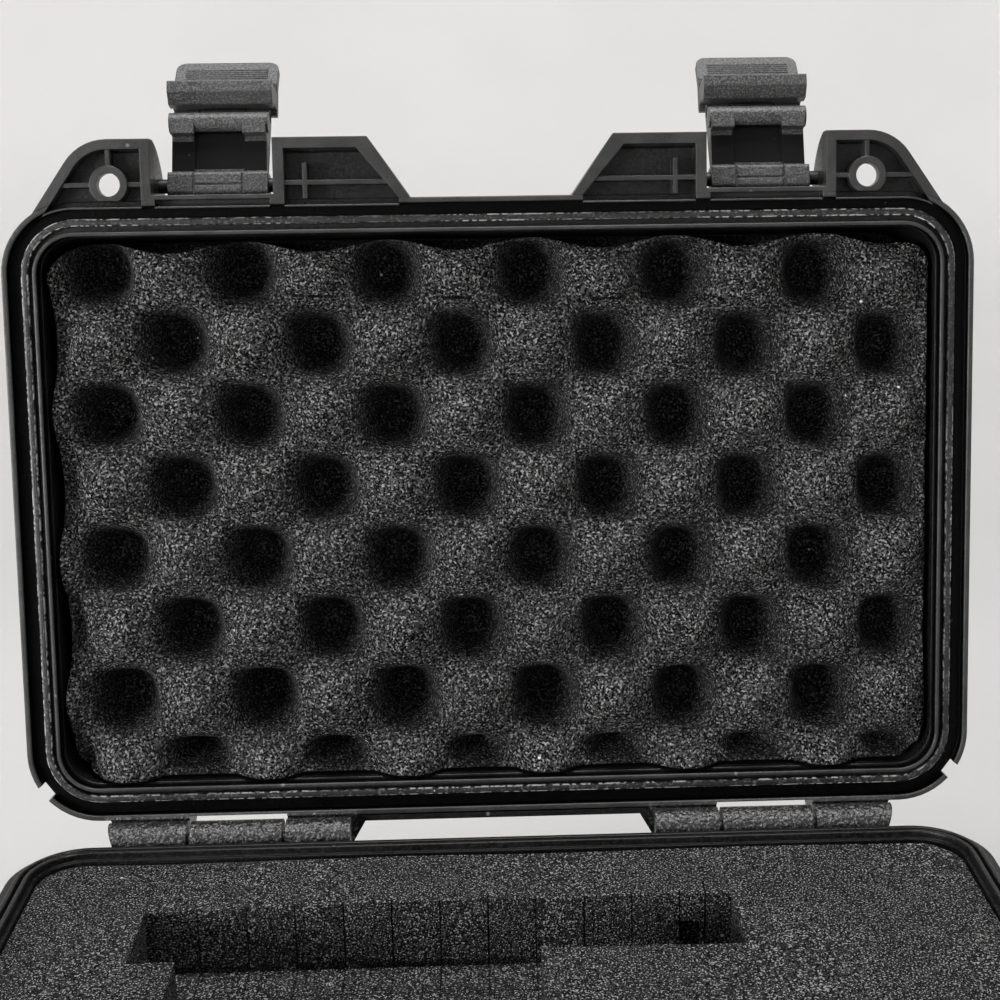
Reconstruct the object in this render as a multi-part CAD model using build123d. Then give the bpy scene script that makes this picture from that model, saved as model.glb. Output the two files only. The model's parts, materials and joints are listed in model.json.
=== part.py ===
"""A small gasketed hard case for microphones, standing open.

Units are millimetres and degrees. +Z is up, +Y points at the hinges and +X is to the right of
someone who faces the latches. The origin is the middle of the underside of the base. The case, its
latches and its handle are drawn shut, and what swings is then turned to the open pose that the case
rests in: the lid leans back on its stops, the latches hang open behind it and the handle hangs down.
"""
import math
import os

from build123d import *

# ---------------------------------------------------------------- overall sizes
RIM_W = 270.0            # outside width of the rim
RIM_D = 175.2            # outside depth of the rim, without bumpers and hinges
RIM_R = 20.0             # corner radius of the rim in plan
BASE_H = 62.0            # underside to the base's rim
LID_H = 40.0             # lid's rim to the top of the lid
WALL = 3.0               # side walls
FLOOR = 3.2              # floor of the base and top of the lid
DRAFT = 2.0              # mould draft of the walls
FLANGE_T = 6.0           # thickness of the flange that carries the rim
SHUT_GAP = 0.3           # rim to rim when shut; the gasket fills it
OVER = 1.0               # how far cutters and joined pieces run past a face

# ---------------------------------------------------------------- rim profile, outside to inside
LIP_W = 1.5              # outer lip
BAND_W = 3.1             # band inside the lip
GROOVE_W = 3.8           # gasket groove
INNER_LIP_W = 1.1        # lip round the opening
BAND_DEPTH = 3.2
GROOVE_DEPTH = 4.2
GASKET_W = 2.1
GASKET_T = 2.2
GASKET_IN_GAP = 1.6      # gasket to the inner lip
GASKET_EDGE_R = 0.8
BASE_RIM_W = 7.65        # base's rim face, up to its inner wall
TONGUE_W = 1.5           # base's ridge that presses on the gasket
GUARD_W = 1.4            # base's outer ridge, which shuts into the lid's band
GUARD_H = 1.8
GUARD_OUT = 2.6          # rim's edge to the outer ridge
RIDGE_GAP = 0.3          # left over the ridge on the gasket when shut
RIM_EDGE_R = 0.35        # rounding of the rim's lips and ridges
FENCE_IN = 1.7           # front edge of the lid's rim to the fence behind its pockets
FENCE_W = 0.5

# ---------------------------------------------------------------- front bumper: ears, bays, boxes
BUMPER_D = 16.7          # how far it stands out past the rim
BUMPER_H = 22.0          # its height at the wall
NOSE_H = 5.0             # its height at the front edge
EAR_WALL = 2.7
EAR_FRONT_INSET = 22.9   # case side to the end of the ear's straight front
EAR_SIDE_RUN = 16.7      # how far the ear's slant runs back along the case side
EAR_NOSE_R = 14.0
EAR_HEEL_R = 14.0
EYE_INSET = 30.3         # case side to the padlock eye
EYE_OUT = 4.4            # rim front to the padlock eye
EYE_R = 3.2
EYE_BOSS_R = 5.2
EYE_STRAIGHT = 3.5       # length of the eye's bore
EYE_LEN = 7.5            # rim to the flat seat behind the eye
EYE_FLARE = 1.2          # how much wider the eye is there, in radius
EAR_POCKET_H = 5.5
EYE_SEAT_R = 8.0
EAR_ROOT = 30.0          # how far an ear's block runs back from the rim's front edge
RIB_T = 1.3
RIB_DROP = 0.8           # ribs stop short of the rim
LATCH_INSET = 58.5       # case side to the middle of a latch
BAY_W = 33.4
BAY_BAR_OUT = 1.4        # rim front to the outer face of the bar across a latch bay
BAY_BAR_W = 1.2
BAY_SLOT_DEPTH = 4.2     # slot between that bar and the fence
BOX_FRONT_W = 25.9       # lid's flange box at its front edge
BOX_SLANT_W = 11.5       # how much wider it is at the rim
BASE_BOX_W = 9.8         # base's flange box, which carries the handle
BASE_POCKET_H = 7.0
BOX_POCKET_H = 6.0       # pocket of the lid's flange box
BOX_RIB_FOOT = 4.0       # front wall to the upright rib in the lid's flange box
NOTCH_W = 4.6            # pry notches at the rear corners of the lid's rim
NOTCH_DEPTH = 1.8
NOTCH_TURN = 36.5        # how far round the corner from the case side

# ---------------------------------------------------------------- hinges
BARREL_R = 5.7
BARREL_GAP = 0.3         # barrels to the rear edges of the rims
HINGE_DOWN = 1.5         # base's rim down to the hinge axis
OPEN_ANGLE = 98.0        # the lid's opening
HINGE_PIN_R = 2.0
HINGE_INSET = 59.0       # case side to the middle of a hinge
BASE_KNUCKLE_W = 26.0
INNER_KNUCKLE_W = 18.5
OUTER_KNUCKLE_W = 22.5
KNUCKLE_GAP = 1.0
OUTER_SLANT = 20.0       # lean of the lid knuckles' outer ends, in plan
INNER_SLANT = 30.0       # lean of the web's ends beside the inner knuckles
RELIEF_DEPTH = 0.8       # cut in the lid's flange over the base's knuckles
BEAD_W = 1.8             # bead that joins the lid's hinges behind the rim
BEAD_SEAM = 0.4          # rim's rear edge to the bead
BEAD_SETBACK = 0.9       # bead behind the face of the rim
BEAD_T = 2.6
PIN_END_GAP = 1.2        # pins stop inside the outer knuckles
HEEL_H = 7.5             # lid's stop below the hinge axis, when open
STOP_GAP = 0.3           # stop to the base's rear flange, when open
BRACE_H = 20.0           # how far the knuckle braces run along the walls
BRACE_SLOPE = 1.0        # far end of a brace inside the rim's rear edge
BRACE_DROP = 2.0         # base brace leaves its barrel this far below the axis
BRACE_RISE = 3.0         # lid brace leaves its barrel this far above the axis

# ---------------------------------------------------------------- fits
PRESS_FIT = 0.01         # radial room of a pin where it is held
RUNNING_FIT = 0.06       # radial room of a pin where a piece turns on it

# ---------------------------------------------------------------- latches, in the shut pose
LATCH_PIN_OUT = 4.4      # rim front to the latch pin
LATCH_PIN_UP = 14.0      # lid's rim up to the latch pin
LATCH_PIN_R = 2.0
LATCH_PIN_GRIP = 2.3     # how far the pin runs into each wall of its bay
LATCH_PIN_END_GAP = 0.2
LATCH_SWING = 105.0      # link's travel, shut to open
LINK_SIDE_GAP = 2.7      # link to the walls of its bay
LINK_ARM_W = 7.2
LINK_ARM_INSET = 0.7     # arms' outer faces inside the ends of the link's block
LINK_BLOCK_HALF = 3.4    # half the side of the block round the latch pin
LINK_BLOCK_R = 1.2       # rounding of that block
LINK_TUBE_R = 3.0        # arms round the latch pin
LINK_STRIP_W = 0.8       # arms' full height past the cross bar
LINK_RECESS_IN = 0.4     # face of the recess in the arms, from the latch pin's middle
LINK_WEB_SINK = 0.8      # web behind that face
LINK_WEB_T = 2.4
LINK_WEB_INSET = 1.4     # ends of the web inside the block's ends
LINK_LINE_W = 0.6        # shallow grooves in the block's face
LINK_LINE_DEPTH = 0.5
LINK_LINE_UP = 0.5       # latch pin to the groove along it
STOP_BAR_R = 3.0         # link's cross bar, which sits over the catch ledge
STOP_BAR_INSET = 0.1     # ends of the cross bar inside the block's ends
STOP_BAR_OUT = 3.8       # rim front to the cross bar's middle
STOP_BAR_DOWN = 4.2      # lid's rim down to it
LEVER_PIN_OUT = 11.9     # rim front to the lever's pin
LEVER_PIN_DOWN = 8.5
LEVER_PIN_R = 1.5
LEVER_PIN_INSET = 1.1    # ends of the pin inside the block's ends
LEVER_HUB_R = 2.5
LEVER_SIDE_GAP = 1.8     # lever to the walls of its bay
LEVER_ARM_GAP = 0.4      # lever's hub to the link's arms
LEVER_PLATE_T = 2.6
LEVER_TOP_BEVEL = 0.8
LEVER_TOP_BEVEL_H = 1.5
LEVER_BEND_DROP = 2.0    # hook bar's underside to where the tab flares
LEVER_TIP_SLOPE = 0.6
LEVER_TAB_R = 3.0        # rounding of the tab's corners
LEVER_NECK_DROP = 0.2    # lever's neck below its pin's middle
HOOK_WEB_UP = 1.7        # web above the hook bar's middle
TAB_RIDGES = 7
TAB_RIDGE_R = 0.25
TAB_RIDGE_START = 2.4    # tab's tip to the first ridge
TAB_RIDGE_PITCH = 0.8
TAB_RIDGE_INSET = 3.0    # ends of the ridges inside the lever's sides
LEVER_PLATE_GAP = 0.6    # lever's plate to the link's arms
LEVER_TOP_DROP = 1.8     # plate's top edge below the lever's pin
LEVER_TAB_DOWN = 27.9    # lid's rim down to the tip of the tab
LEVER_TAB_FLARE = 5.0    # how far the tab stands out from the plate
HOOK_HALF = 3.1          # half the side of the hook bar
HOOK_FACE_UP = 0.2       # hook bar's middle to the start of its bevel
HOOK_TOP_IN = 0.4        # hook bar's middle to the end of its bevel
HOOK_EDGE_R = 0.4
HOOK_INSET = 0.1         # ends of the hook bar inside the lever's sides
HOOK_OUT = 6.0           # rim front to the hook bar's middle
LEDGE_OUT = 7.4          # base's catch ledge past the rim front
LEDGE_T = 2.4
LEDGE_DROP = 7.6         # base's rim down to the ledge
HOOK_GAP = 0.2           # hook bar to the ledge when shut

# ---------------------------------------------------------------- handle
HANDLE_OUT = 9.4         # rim front to the handle's pins
HANDLE_DOWN = 12.0       # base's rim down to them
HANDLE_PIN_R = 2.0
HANDLE_ARM_W = 7.0
HANDLE_ARM_T = 9.0
HANDLE_SIDE_GAP = 0.7
HANDLE_FOOT = 6.0        # underside to the bottom of the hanging handle
HANDLE_EYE_R = 5.0
GRIP_T = 13.0
GRIP_H = 14.0
GRIP_WALL = 2.5
GRIP_ROOM = 0.1          # core to the inside of the grip
GRIP_END_GAP = 3.0
GRIP_WAVES = 4
GRIP_WAVE_R = 9.6
GRIP_WAVE_DEPTH = 1.2
HANDLE_PIN_GRIP = 7.0    # how far a pin runs into its flange box
HANDLE_PIN_INSET = 0.5   # pin's inner end inside the handle's arm
HANDLE_PIN_END_GAP = 0.3

# ---------------------------------------------------------------- pressure valve in the front wall
VALVE_UP = 16.0          # top of the hanging grip up to the valve
VALVE_PAD_R = 11.0
VALVE_PAD_OUT = 1.15     # pad's outer face past the wall's outer face at the flange
VALVE_PAD_IN = 1.6       # pad's inner face past the wall's inner face at the rim
VALVE_FLANGE_R = 9.0
VALVE_FLANGE_T = 2.5
VALVE_STEM_R = 5.0
VALVE_HOLE_GAP = 0.2
VALVE_STEM_OUT = 0.5     # stem past the nut
VALVE_FIT = 0.05         # radial room of the seal and the nut on the stem
VALVE_SEAL_INSET = 0.6   # seal's edge inside the flange's
VALVE_BORE_R = 2.6
VALVE_SEAL_T = 0.8
VALVE_NUT_AF = 14.0
VALVE_NUT_T = 3.5
MEMBRANE_R = 3.8
MEMBRANE_T = 0.6
MEMBRANE_SINK = 0.4      # membrane inside the end of the stem
MEMBRANE_ROOM = 0.1
KNOB_R = 7.5
KNOB_T = 5.5
KNOB_GAP = 0.3
KNOB_SPIGOT_LEN = 3.0
KNOB_BEVEL = 0.8
KNOB_FLUTES = 8
KNOB_FLUTE_R = 1.5
KNOB_FLUTE_OUT = 0.7     # flutes' middles outside the knob
KNOB_FLOOR_T = 1.2       # knob behind its flutes
POINTER_W = 1.2
POINTER_DEPTH = 0.5
POINTER_END = 2.0        # knob's edge to the pointer's end

# ---------------------------------------------------------------- foams
FOAM_GAP = 0.4           # foam to the walls
FOAM_DROP = 0.4          # base's rim down to the top of its foam
PAD_T = 17.0             # loose pad under the cut foam
CUT_DEPTH = 18.0         # depth of the cut-out
CUT_FROM_REAR = 36.5     # rim's rear edge to the cut-out
CUT_FROM_LEFT = 40.5     # rim's left edge to the cut-out
SLOT_L = 154.4
SLOT_W = 25.3
TRAY_STEP = 12.3         # from the slot's left end to the wide part
TRAY_L = 90.8
TRAY_W = 63.5
EGG_DROP = 1.0           # lid's rim to the peaks of its foam
NUT_ROOM = 2.0           # foam to the valve's nut

# ---------------------------------------------------------------- outside trim
PANEL_INSET = 46.0       # edge of the raised panel on the lid, from the rim
PANEL_BORDER = 5.0
PANEL_T = 1.6
PANEL_R = 12.0
EDGE_R = 3.0             # rounding of the lid's top and the base's bottom edges
STACK_W = 22.0           # pads on the lid that seat in the next case's underside
STACK_T = 1.8
STACK_R = 5.0
STACK_INSET = 28.0
STACK_LIFT = 0.3         # pads stop short of the bottom of their recesses
STACK_ROOM = 0.8         # side room of a pad in its recess
WAIST_DROP = 30.0        # rim to the rib round the base
WAIST_T = 2.4
WAIST_OUT = 1.4
SIDE_RIB_T = 2.0
SIDE_RIB_OUT = 3.4
SIDE_RIB_PITCH = 40.0
SIDE_RIB_GAP = 1.0       # flange to the side ribs

# ---------------------------------------------------------------- places worked out from the sizes
RIM_Z = BASE_H                                     # base's rim
LID_Z = RIM_Z + SHUT_GAP                           # lid's rim when shut
HALF_W = RIM_W / 2
FRONT_Y = -RIM_D / 2
REAR_Y = RIM_D / 2
NOSE_Y = FRONT_Y - BUMPER_D
BAND = LIP_W + BAND_W + GROOVE_W + INNER_LIP_W     # whole rim face
GASKET_MID = BAND - INNER_LIP_W - GASKET_IN_GAP - GASKET_W / 2   # rim's edge to the gasket's middle
GROOVE_TOP = (GROOVE_DEPTH + FLANGE_T) / 2          # between the groove and the flange's far face
LID_INSET = BAND - WALL                            # rim's edge to the outside of the lid's walls
BASE_INSET = BASE_RIM_W - WALL                      # rim's edge to the outside of the base's walls
HINGE_Y = REAR_Y + BARREL_GAP + BARREL_R
HINGE_Z = RIM_Z - HINGE_DOWN
HINGE = (HINGE_Y, HINGE_Z)
HINGE_X = HALF_W - HINGE_INSET
LATCH_X = HALF_W - LATCH_INSET
BAY_IN = LATCH_X - BAY_W / 2
BAY_OUT = LATCH_X + BAY_W / 2
EYE_X = HALF_W - EYE_INSET
EYE_Y = FRONT_Y - EYE_OUT
LINK_W = BAY_W - 2 * LINK_SIDE_GAP
STOP_BAR_W = LINK_W - 2 * STOP_BAR_INSET
LEVER_W = BAY_W - 2 * LEVER_SIDE_GAP
HOOK_W = LEVER_W - 2 * HOOK_INSET
LATCH_PIN = (FRONT_Y - LATCH_PIN_OUT, LID_Z + LATCH_PIN_UP)
LEVER_PIN = (FRONT_Y - LEVER_PIN_OUT, LID_Z - LEVER_PIN_DOWN)
STOP_BAR = (FRONT_Y - STOP_BAR_OUT, LID_Z - STOP_BAR_DOWN)
LEDGE_TOP = RIM_Z - LEDGE_DROP
LEDGE_BOTTOM = LEDGE_TOP - LEDGE_T
HOOK = (FRONT_Y - HOOK_OUT, LEDGE_BOTTOM - HOOK_GAP - HOOK_HALF)
BASE_BOX_IN = BAY_IN - BASE_BOX_W
HANDLE_PIN = (FRONT_Y - HANDLE_OUT, RIM_Z - HANDLE_DOWN)
ARM_OUT_X = BASE_BOX_IN - HANDLE_SIDE_GAP
ARM_MID_X = ARM_OUT_X - HANDLE_ARM_W / 2
VALVE_Z = HANDLE_FOOT + GRIP_H + VALVE_UP
PAD_FACE_Y = FRONT_Y + BASE_INSET - VALVE_PAD_OUT
PAD_BACK_Y = FRONT_Y + BASE_RIM_W + VALVE_PAD_IN
VALVE_END_Y = PAD_BACK_Y + VALVE_NUT_T + VALVE_STEM_OUT
LID_TOP = LID_Z + LID_H
SIDES = {"left": -1, "right": 1}


# ================================================================ helpers
def slab(inset, bottom, top, taper=0.0, from_top=True):
    """A rounded-rectangle block, inset from the rim, that narrows away from its starting face."""
    outline = RectangleRounded(RIM_W - 2 * inset, RIM_D - 2 * inset, max(RIM_R - inset, 2.0))
    if from_top:
        return extrude(Plane.XY.offset(top) * outline, amount=bottom - top, taper=taper)
    return extrude(Plane.XY.offset(bottom) * outline, amount=top - bottom, taper=taper)


def ring(inset, width, bottom, top):
    """A band that follows the rim, its outer edge inset from the rim's edge."""
    return slab(inset, bottom, top) - slab(inset + width, bottom - OVER, top + OVER)


def box(x0, x1, y0, y1, z0, z1):
    """A box between the given places."""
    middle = ((x0 + x1) / 2, (y0 + y1) / 2, (z0 + z1) / 2)
    return Pos(*middle) * Box(abs(x1 - x0), abs(y1 - y0), abs(z1 - z0))


def rod(x0, x1, centre, radius):
    """A cylinder along X whose centre is at the given (y, z)."""
    return Pos((x0 + x1) / 2, *centre) * Rot(0, 90, 0) * Cylinder(radius, abs(x1 - x0))


def rod_y(y0, y1, x, z, radius):
    """A cylinder along Y."""
    return Pos(x, (y0 + y1) / 2, z) * Rot(90, 0, 0) * Cylinder(radius, abs(y1 - y0))


def side_profile(x0, x1, face):
    """A face drawn in (y, z), drawn out along X between two places."""
    plane = Plane(origin=(x0, 0, 0), x_dir=(0, 1, 0), z_dir=(1, 0, 0))
    return extrude(plane * face, amount=x1 - x0)


def polygon(*points):
    """A flat face through the given points."""
    return make_face(Polyline(*points, close=True))


def hull_of(*circles):
    """The flat face stretched round circles given as (y, z, radius)."""
    return make_hull([Pos(y, z) * Edge.make_circle(radius) for y, z, radius in circles])


def mirrored(part):
    """The same piece on the other side of the case."""
    return mirror(part, about=Plane.YZ)


def both_sides(part):
    """A feature on the right, joined with its twin on the left."""
    return part + mirrored(part)


def on_side(part, side):
    """A piece drawn on the right, on the side it is wanted."""
    return part if side > 0 else mirrored(part)


def turned(part, centre, angle):
    """A piece turned about an axis along X through (y, z)."""
    return part.rotate(Axis((0, *centre), (1, 0, 0)), angle)


def opened(part):
    """A lid piece, turned from the shut pose to the open one."""
    return turned(part, HINGE, -OPEN_ANGLE)


def latch_opened(part):
    """A latch piece, turned open on its own pin and then carried by the lid."""
    return opened(turned(part, LATCH_PIN, -LATCH_SWING))


# ================================================================ front bumper of both shells
def bumper_profile(rim_z, up, inset):
    """The bumper's outline seen from the side, for a shell that runs up (1) or down (-1)."""
    nose = NOSE_Y + inset
    height = BUMPER_H - inset
    start = NOSE_H - inset
    back = FRONT_Y + LID_INSET + WALL / 2
    outline = Polyline((back, rim_z), (nose, rim_z), (nose, rim_z + up * start))
    arc = RadiusArc((nose, rim_z + up * start), (FRONT_Y, rim_z + up * height), up * (height + 2))
    close = Polyline((FRONT_Y, rim_z + up * height), (back, rim_z + up * height), (back, rim_z))
    return make_face(outline + arc + close)


def ear_outline(inset):
    """Plan of the right ear, which holds a padlock eye."""
    slant_x = HALF_W - EAR_FRONT_INSET
    run = math.hypot(EAR_FRONT_INSET, BUMPER_D + EAR_SIDE_RUN)
    lean = (BUMPER_D + EAR_SIDE_RUN) / run
    flat = EAR_FRONT_INSET / run
    nose = Vector(slant_x - inset * (1 - flat) / lean, NOSE_Y + inset)
    heel = Vector(HALF_W - inset, FRONT_Y + EAR_SIDE_RUN + inset * (1 - lean) / flat)
    shape = polygon(
        (BAY_OUT + inset, FRONT_Y + EAR_ROOT),
        (BAY_OUT + inset, NOSE_Y + inset),
        (nose.X, nose.Y),
        (heel.X, heel.Y),
        (HALF_W - inset, FRONT_Y + EAR_ROOT),
    )
    corners = shape.vertices()
    shape = fillet(corners.sort_by_distance((nose.X, nose.Y, 0))[0], EAR_NOSE_R - inset)
    return fillet(shape.vertices().sort_by_distance((heel.X, heel.Y, 0))[0], EAR_HEEL_R - inset)


def lid_box_outline(inset):
    """Plan of the lid's right flange box, with its slanted inner end."""
    outer = BAY_IN - inset
    inner = BAY_IN - BOX_FRONT_W + inset
    return polygon(
        (outer, FRONT_Y + LID_INSET),
        (outer, NOSE_Y + inset),
        (inner, NOSE_Y + inset),
        (inner - BOX_SLANT_W, FRONT_Y),
        (inner - BOX_SLANT_W, FRONT_Y + LID_INSET),
    )


def base_box_outline(inset):
    """Plan of the base's right flange box, which carries an end of the handle."""
    return polygon(
        (BAY_IN - inset, FRONT_Y + BASE_INSET),
        (BAY_IN - inset, NOSE_Y + inset),
        (BASE_BOX_IN + inset, NOSE_Y + inset),
        (BASE_BOX_IN + inset, FRONT_Y + BASE_INSET),
    )


def bumper_block(outline, rim_z, up, wall, pocket_h):
    """One solid of the bumper with a pocket that opens at the rim."""
    tall = BUMPER_H + OVER
    x_far = HALF_W + OVER
    block = extrude(Plane.XY.offset(rim_z) * outline(0.0), amount=up * tall)
    block = block & side_profile(0, x_far, bumper_profile(rim_z, up, 0.0))
    pocket = bumper_pocket(outline, rim_z, up, wall, pocket_h)
    return block - (pocket - slab(0.0, rim_z - tall, rim_z + tall))


def bumper_pocket(outline, rim_z, up, wall, pocket_h):
    """The pocket of one solid of the bumper, from the rim's plane to its floor."""
    pocket = extrude(Plane.XY.offset(rim_z) * outline(wall), amount=up * pocket_h)
    return pocket & side_profile(0, HALF_W + OVER, bumper_profile(rim_z, up, wall))


def eye_boss(rim_z, up):
    """Padlock boss of the right ear and the ribs that tie it to the ear's walls."""
    reach = EAR_POCKET_H + EAR_WALL / 2
    low, high = sorted((rim_z, rim_z + up * reach))
    boss = Pos(EYE_X, EYE_Y, (low + high) / 2) * Cylinder(EYE_BOSS_R, high - low)
    low, high = sorted((rim_z + up * RIB_DROP, rim_z + up * reach))
    cross = box(BAY_OUT, HALF_W, EYE_Y - RIB_T / 2, EYE_Y + RIB_T / 2, low, high)
    upright = box(EYE_X - RIB_T / 2, EYE_X + RIB_T / 2, NOSE_Y, FRONT_Y + EAR_SIDE_RUN, low, high)
    ear = extrude(Plane.XY.offset(rim_z) * ear_outline(EAR_WALL / 2), amount=up * BUMPER_H)
    profile = side_profile(0, HALF_W, bumper_profile(rim_z, up, EAR_WALL / 2))
    return (boss + cross + upright) & ear & profile


def ear(rim_z, up):
    """Right ear with its pocket and padlock boss; the eye is bored later."""
    return bumper_block(ear_outline, rim_z, up, EAR_WALL, EAR_POCKET_H) + eye_boss(rim_z, up)


def eye_hole(rim_z, up):
    """Cutter of the right padlock eye: its bore, the flare beyond it and the seat behind."""
    turn = 0 if up > 0 else 180
    flare_len = EYE_LEN - EYE_STRAIGHT
    flare = Rot(turn, 0, 0) * Cone(EYE_R, EYE_R + EYE_FLARE, flare_len)
    hole = Pos(EYE_X, EYE_Y, rim_z + up * (EYE_STRAIGHT + flare_len / 2)) * flare
    bore = Pos(EYE_X, EYE_Y, rim_z) * Cylinder(EYE_R, 2 * EYE_STRAIGHT)
    seat_z = rim_z + up * (EYE_LEN + BUMPER_H / 2)
    return bore + hole + Pos(EYE_X, EYE_Y, seat_z) * Cylinder(EYE_SEAT_R, BUMPER_H)


# ================================================================ hinge pieces
def knuckle_spans():
    """X spans of the right hinge: the lid's inner knuckle, the base's knuckle, the lid's outer one."""
    half = BASE_KNUCKLE_W / 2
    inner_end = HINGE_X - half - KNUCKLE_GAP
    outer_start = HINGE_X + half + KNUCKLE_GAP
    inner = (inner_end - INNER_KNUCKLE_W, inner_end)
    return inner, (HINGE_X - half, HINGE_X + half), (outer_start, outer_start + OUTER_KNUCKLE_W)


def barrel_bore(span, fit):
    """Cutter of a knuckle's pin hole."""
    return rod(span[0] - OVER, span[1] + OVER, HINGE, HINGE_PIN_R + fit)


def base_knuckle(span):
    """The base's knuckle, braced down its rear wall."""
    wall_y = REAR_Y - BASE_INSET - WALL / 3
    brace = polygon(
        (wall_y, RIM_Z - BRACE_H),
        (REAR_Y - BRACE_SLOPE, RIM_Z - BRACE_H),
        (HINGE_Y + BARREL_R, HINGE_Z - BRACE_DROP),
        (HINGE_Y, HINGE_Z),
        (REAR_Y, RIM_Z - FLANGE_T / 4),
        (wall_y, RIM_Z - FLANGE_T / 4),
    )
    barrel = rod(*span, HINGE, BARREL_R)
    return barrel + side_profile(*span, brace)


def lid_knuckle(span):
    """A lid knuckle in the shut pose, with the brace on the lid and the heel that stops it."""
    wall_y = REAR_Y - LID_INSET - WALL / 3
    lip_y = REAR_Y - LIP_W / 2
    brace = polygon(
        (wall_y, LID_Z + GROOVE_TOP),
        (lip_y, LID_Z + GROOVE_TOP),
        (lip_y, LID_Z + BEAD_SETBACK),
        (HINGE_Y, HINGE_Z + BARREL_R / 2),
        (HINGE_Y + BARREL_R - BRACE_SLOPE, HINGE_Z + BRACE_RISE),
        (REAR_Y - BRACE_SLOPE, LID_Z + BRACE_H),
        (wall_y, LID_Z + BRACE_H),
    )
    heel = box(*span, REAR_Y + STOP_GAP, HINGE_Y, HINGE_Z - HEEL_H, HINGE_Z)
    shut_heel = turned(heel, HINGE, OPEN_ANGLE)
    barrel = rod(*span, HINGE, BARREL_R)
    return barrel + side_profile(*span, brace) + shut_heel


def lid_hinge_plan():
    """Plan of what the right hinge's lid side may fill, with its leaning ends."""
    back = HINGE_Y + BARREL_R + HEEL_H
    inner, _, outer = knuckle_spans()
    lean_out = (back - REAR_Y) * math.tan(math.radians(OUTER_SLANT))
    return polygon(
        (inner[0], REAR_Y - BRACE_H),
        (outer[1], REAR_Y - BRACE_H),
        (outer[1], REAR_Y),
        (outer[1] - lean_out, back),
        (inner[0], back),
    )


def lid_hinge():
    """Both lid knuckles of the right hinge, in the shut pose."""
    inner, _, outer = knuckle_spans()
    limit = extrude(Plane.XY * lid_hinge_plan(), amount=LID_TOP)
    return (lid_knuckle(inner) + lid_knuckle(outer)) & limit


def hinge_bead():
    """The bead behind the lid's rim from hinge to hinge, with its leaning ends at the barrels."""
    near = REAR_Y + BEAD_SEAM
    far = near + BEAD_W
    end_y = HINGE_Y + BARREL_R / 2
    lean = math.tan(math.radians(INNER_SLANT))
    foot = knuckle_spans()[0][0]
    knee = foot - (end_y - far) * lean
    half = polygon(
        (0, near),
        (knee + BEAD_W, near),
        (foot + BEAD_W, end_y),
        (foot, end_y),
        (knee, far),
        (0, far),
    )
    low = LID_Z + BEAD_SETBACK
    bead = extrude(Plane.XY.offset(low) * half, amount=BEAD_T)
    web_low = low + BEAD_T / 3
    web = box(0, foot + BEAD_W, REAR_Y - LIP_W / 2, near + BEAD_W / 2, web_low, low + BEAD_T)
    mid = BEAD_W / 2
    corner = polygon((knee + mid, far - mid), (foot + mid, far - mid), (foot + mid, end_y - mid))
    gusset = extrude(Plane.XY.offset(web_low) * corner, amount=low + BEAD_T - web_low)
    return both_sides(bead + web + gusset)


def knuckle_relief():
    """Cutter that clears the lid's flange over the right base knuckle."""
    _, base, _ = knuckle_spans()
    x0, x1 = base[0] - KNUCKLE_GAP, base[1] + KNUCKLE_GAP
    return box(x0, x1, REAR_Y - RELIEF_DEPTH, REAR_Y + BARREL_R, LID_Z - OVER, LID_Z + FLANGE_T + OVER)


# ================================================================ base body
def base_shell():
    """Base: floor, walls, flange and rim, with ears, catch ledges, handle boxes and knuckles."""
    body = slab(BASE_INSET, 0, RIM_Z, DRAFT)
    body = fillet(body.faces().sort_by(Axis.Z)[0].edges(), EDGE_R)
    shell = body + slab(0.0, RIM_Z - FLANGE_T, RIM_Z)
    shell += both_sides(ear(RIM_Z, -1))
    shell += both_sides(bumper_block(base_box_outline, RIM_Z, -1, WALL, BASE_POCKET_H))
    wall_y = FRONT_Y + BASE_INSET + WALL / 3
    ledge = box(BAY_IN - OVER, BAY_OUT + OVER, wall_y, FRONT_Y - LEDGE_OUT, LEDGE_BOTTOM, LEDGE_TOP)
    shell += both_sides(ledge)
    shell += rod_y(PAD_FACE_Y, PAD_BACK_Y, 0, VALVE_Z, VALVE_PAD_R)
    shell += side_ribs(BASE_INSET, RIM_Z - FLANGE_T - SIDE_RIB_GAP, -1, BASE_H / 2)
    shell += waist_rib()
    shell -= stack_marks(0, STACK_ROOM, STACK_T)
    shell -= slab(BASE_RIM_W, FLOOR, RIM_Z, DRAFT) - rod_y(PAD_FACE_Y, PAD_BACK_Y, 0, VALVE_Z, VALVE_PAD_R)
    span = knuckle_spans()[1]
    shell += both_sides(base_knuckle(span))
    shell += tongue() + guard_ridge()
    shell -= both_sides(barrel_bore(span, PRESS_FIT))
    shell -= both_sides(eye_hole(RIM_Z, -1))
    pin_reach = BASE_BOX_IN + HANDLE_PIN_GRIP
    shell -= both_sides(rod(BASE_BOX_IN - OVER, pin_reach, HANDLE_PIN, HANDLE_PIN_R + PRESS_FIT))
    shell -= rod_y(PAD_FACE_Y - OVER, PAD_BACK_Y + OVER, 0, VALVE_Z, VALVE_STEM_R + VALVE_HOLE_GAP)
    return shell


def stack_marks(z, room, height):
    """Four corner blocks: the lid's stacking pads or, with room, the base's recesses for them."""
    size = STACK_W + 2 * room
    marks = None
    for x in (STACK_INSET - HALF_W, HALF_W - STACK_INSET):
        for y in (FRONT_Y + STACK_INSET, REAR_Y - STACK_INSET):
            outline = Pos(x, y, z) * RectangleRounded(size, size, STACK_R + room)
            mark = extrude(outline, amount=height)
            marks = mark if marks is None else marks + mark
    return marks


def waist_rib():
    """Low rib round the base's walls."""
    middle = RIM_Z - WAIST_DROP
    shrink = WAIST_DROP * math.tan(math.radians(DRAFT))
    inset = BASE_INSET + shrink - WAIST_OUT
    return ring(inset, WAIST_OUT + OVER, middle - WAIST_T / 2, middle + WAIST_T / 2)


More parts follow.
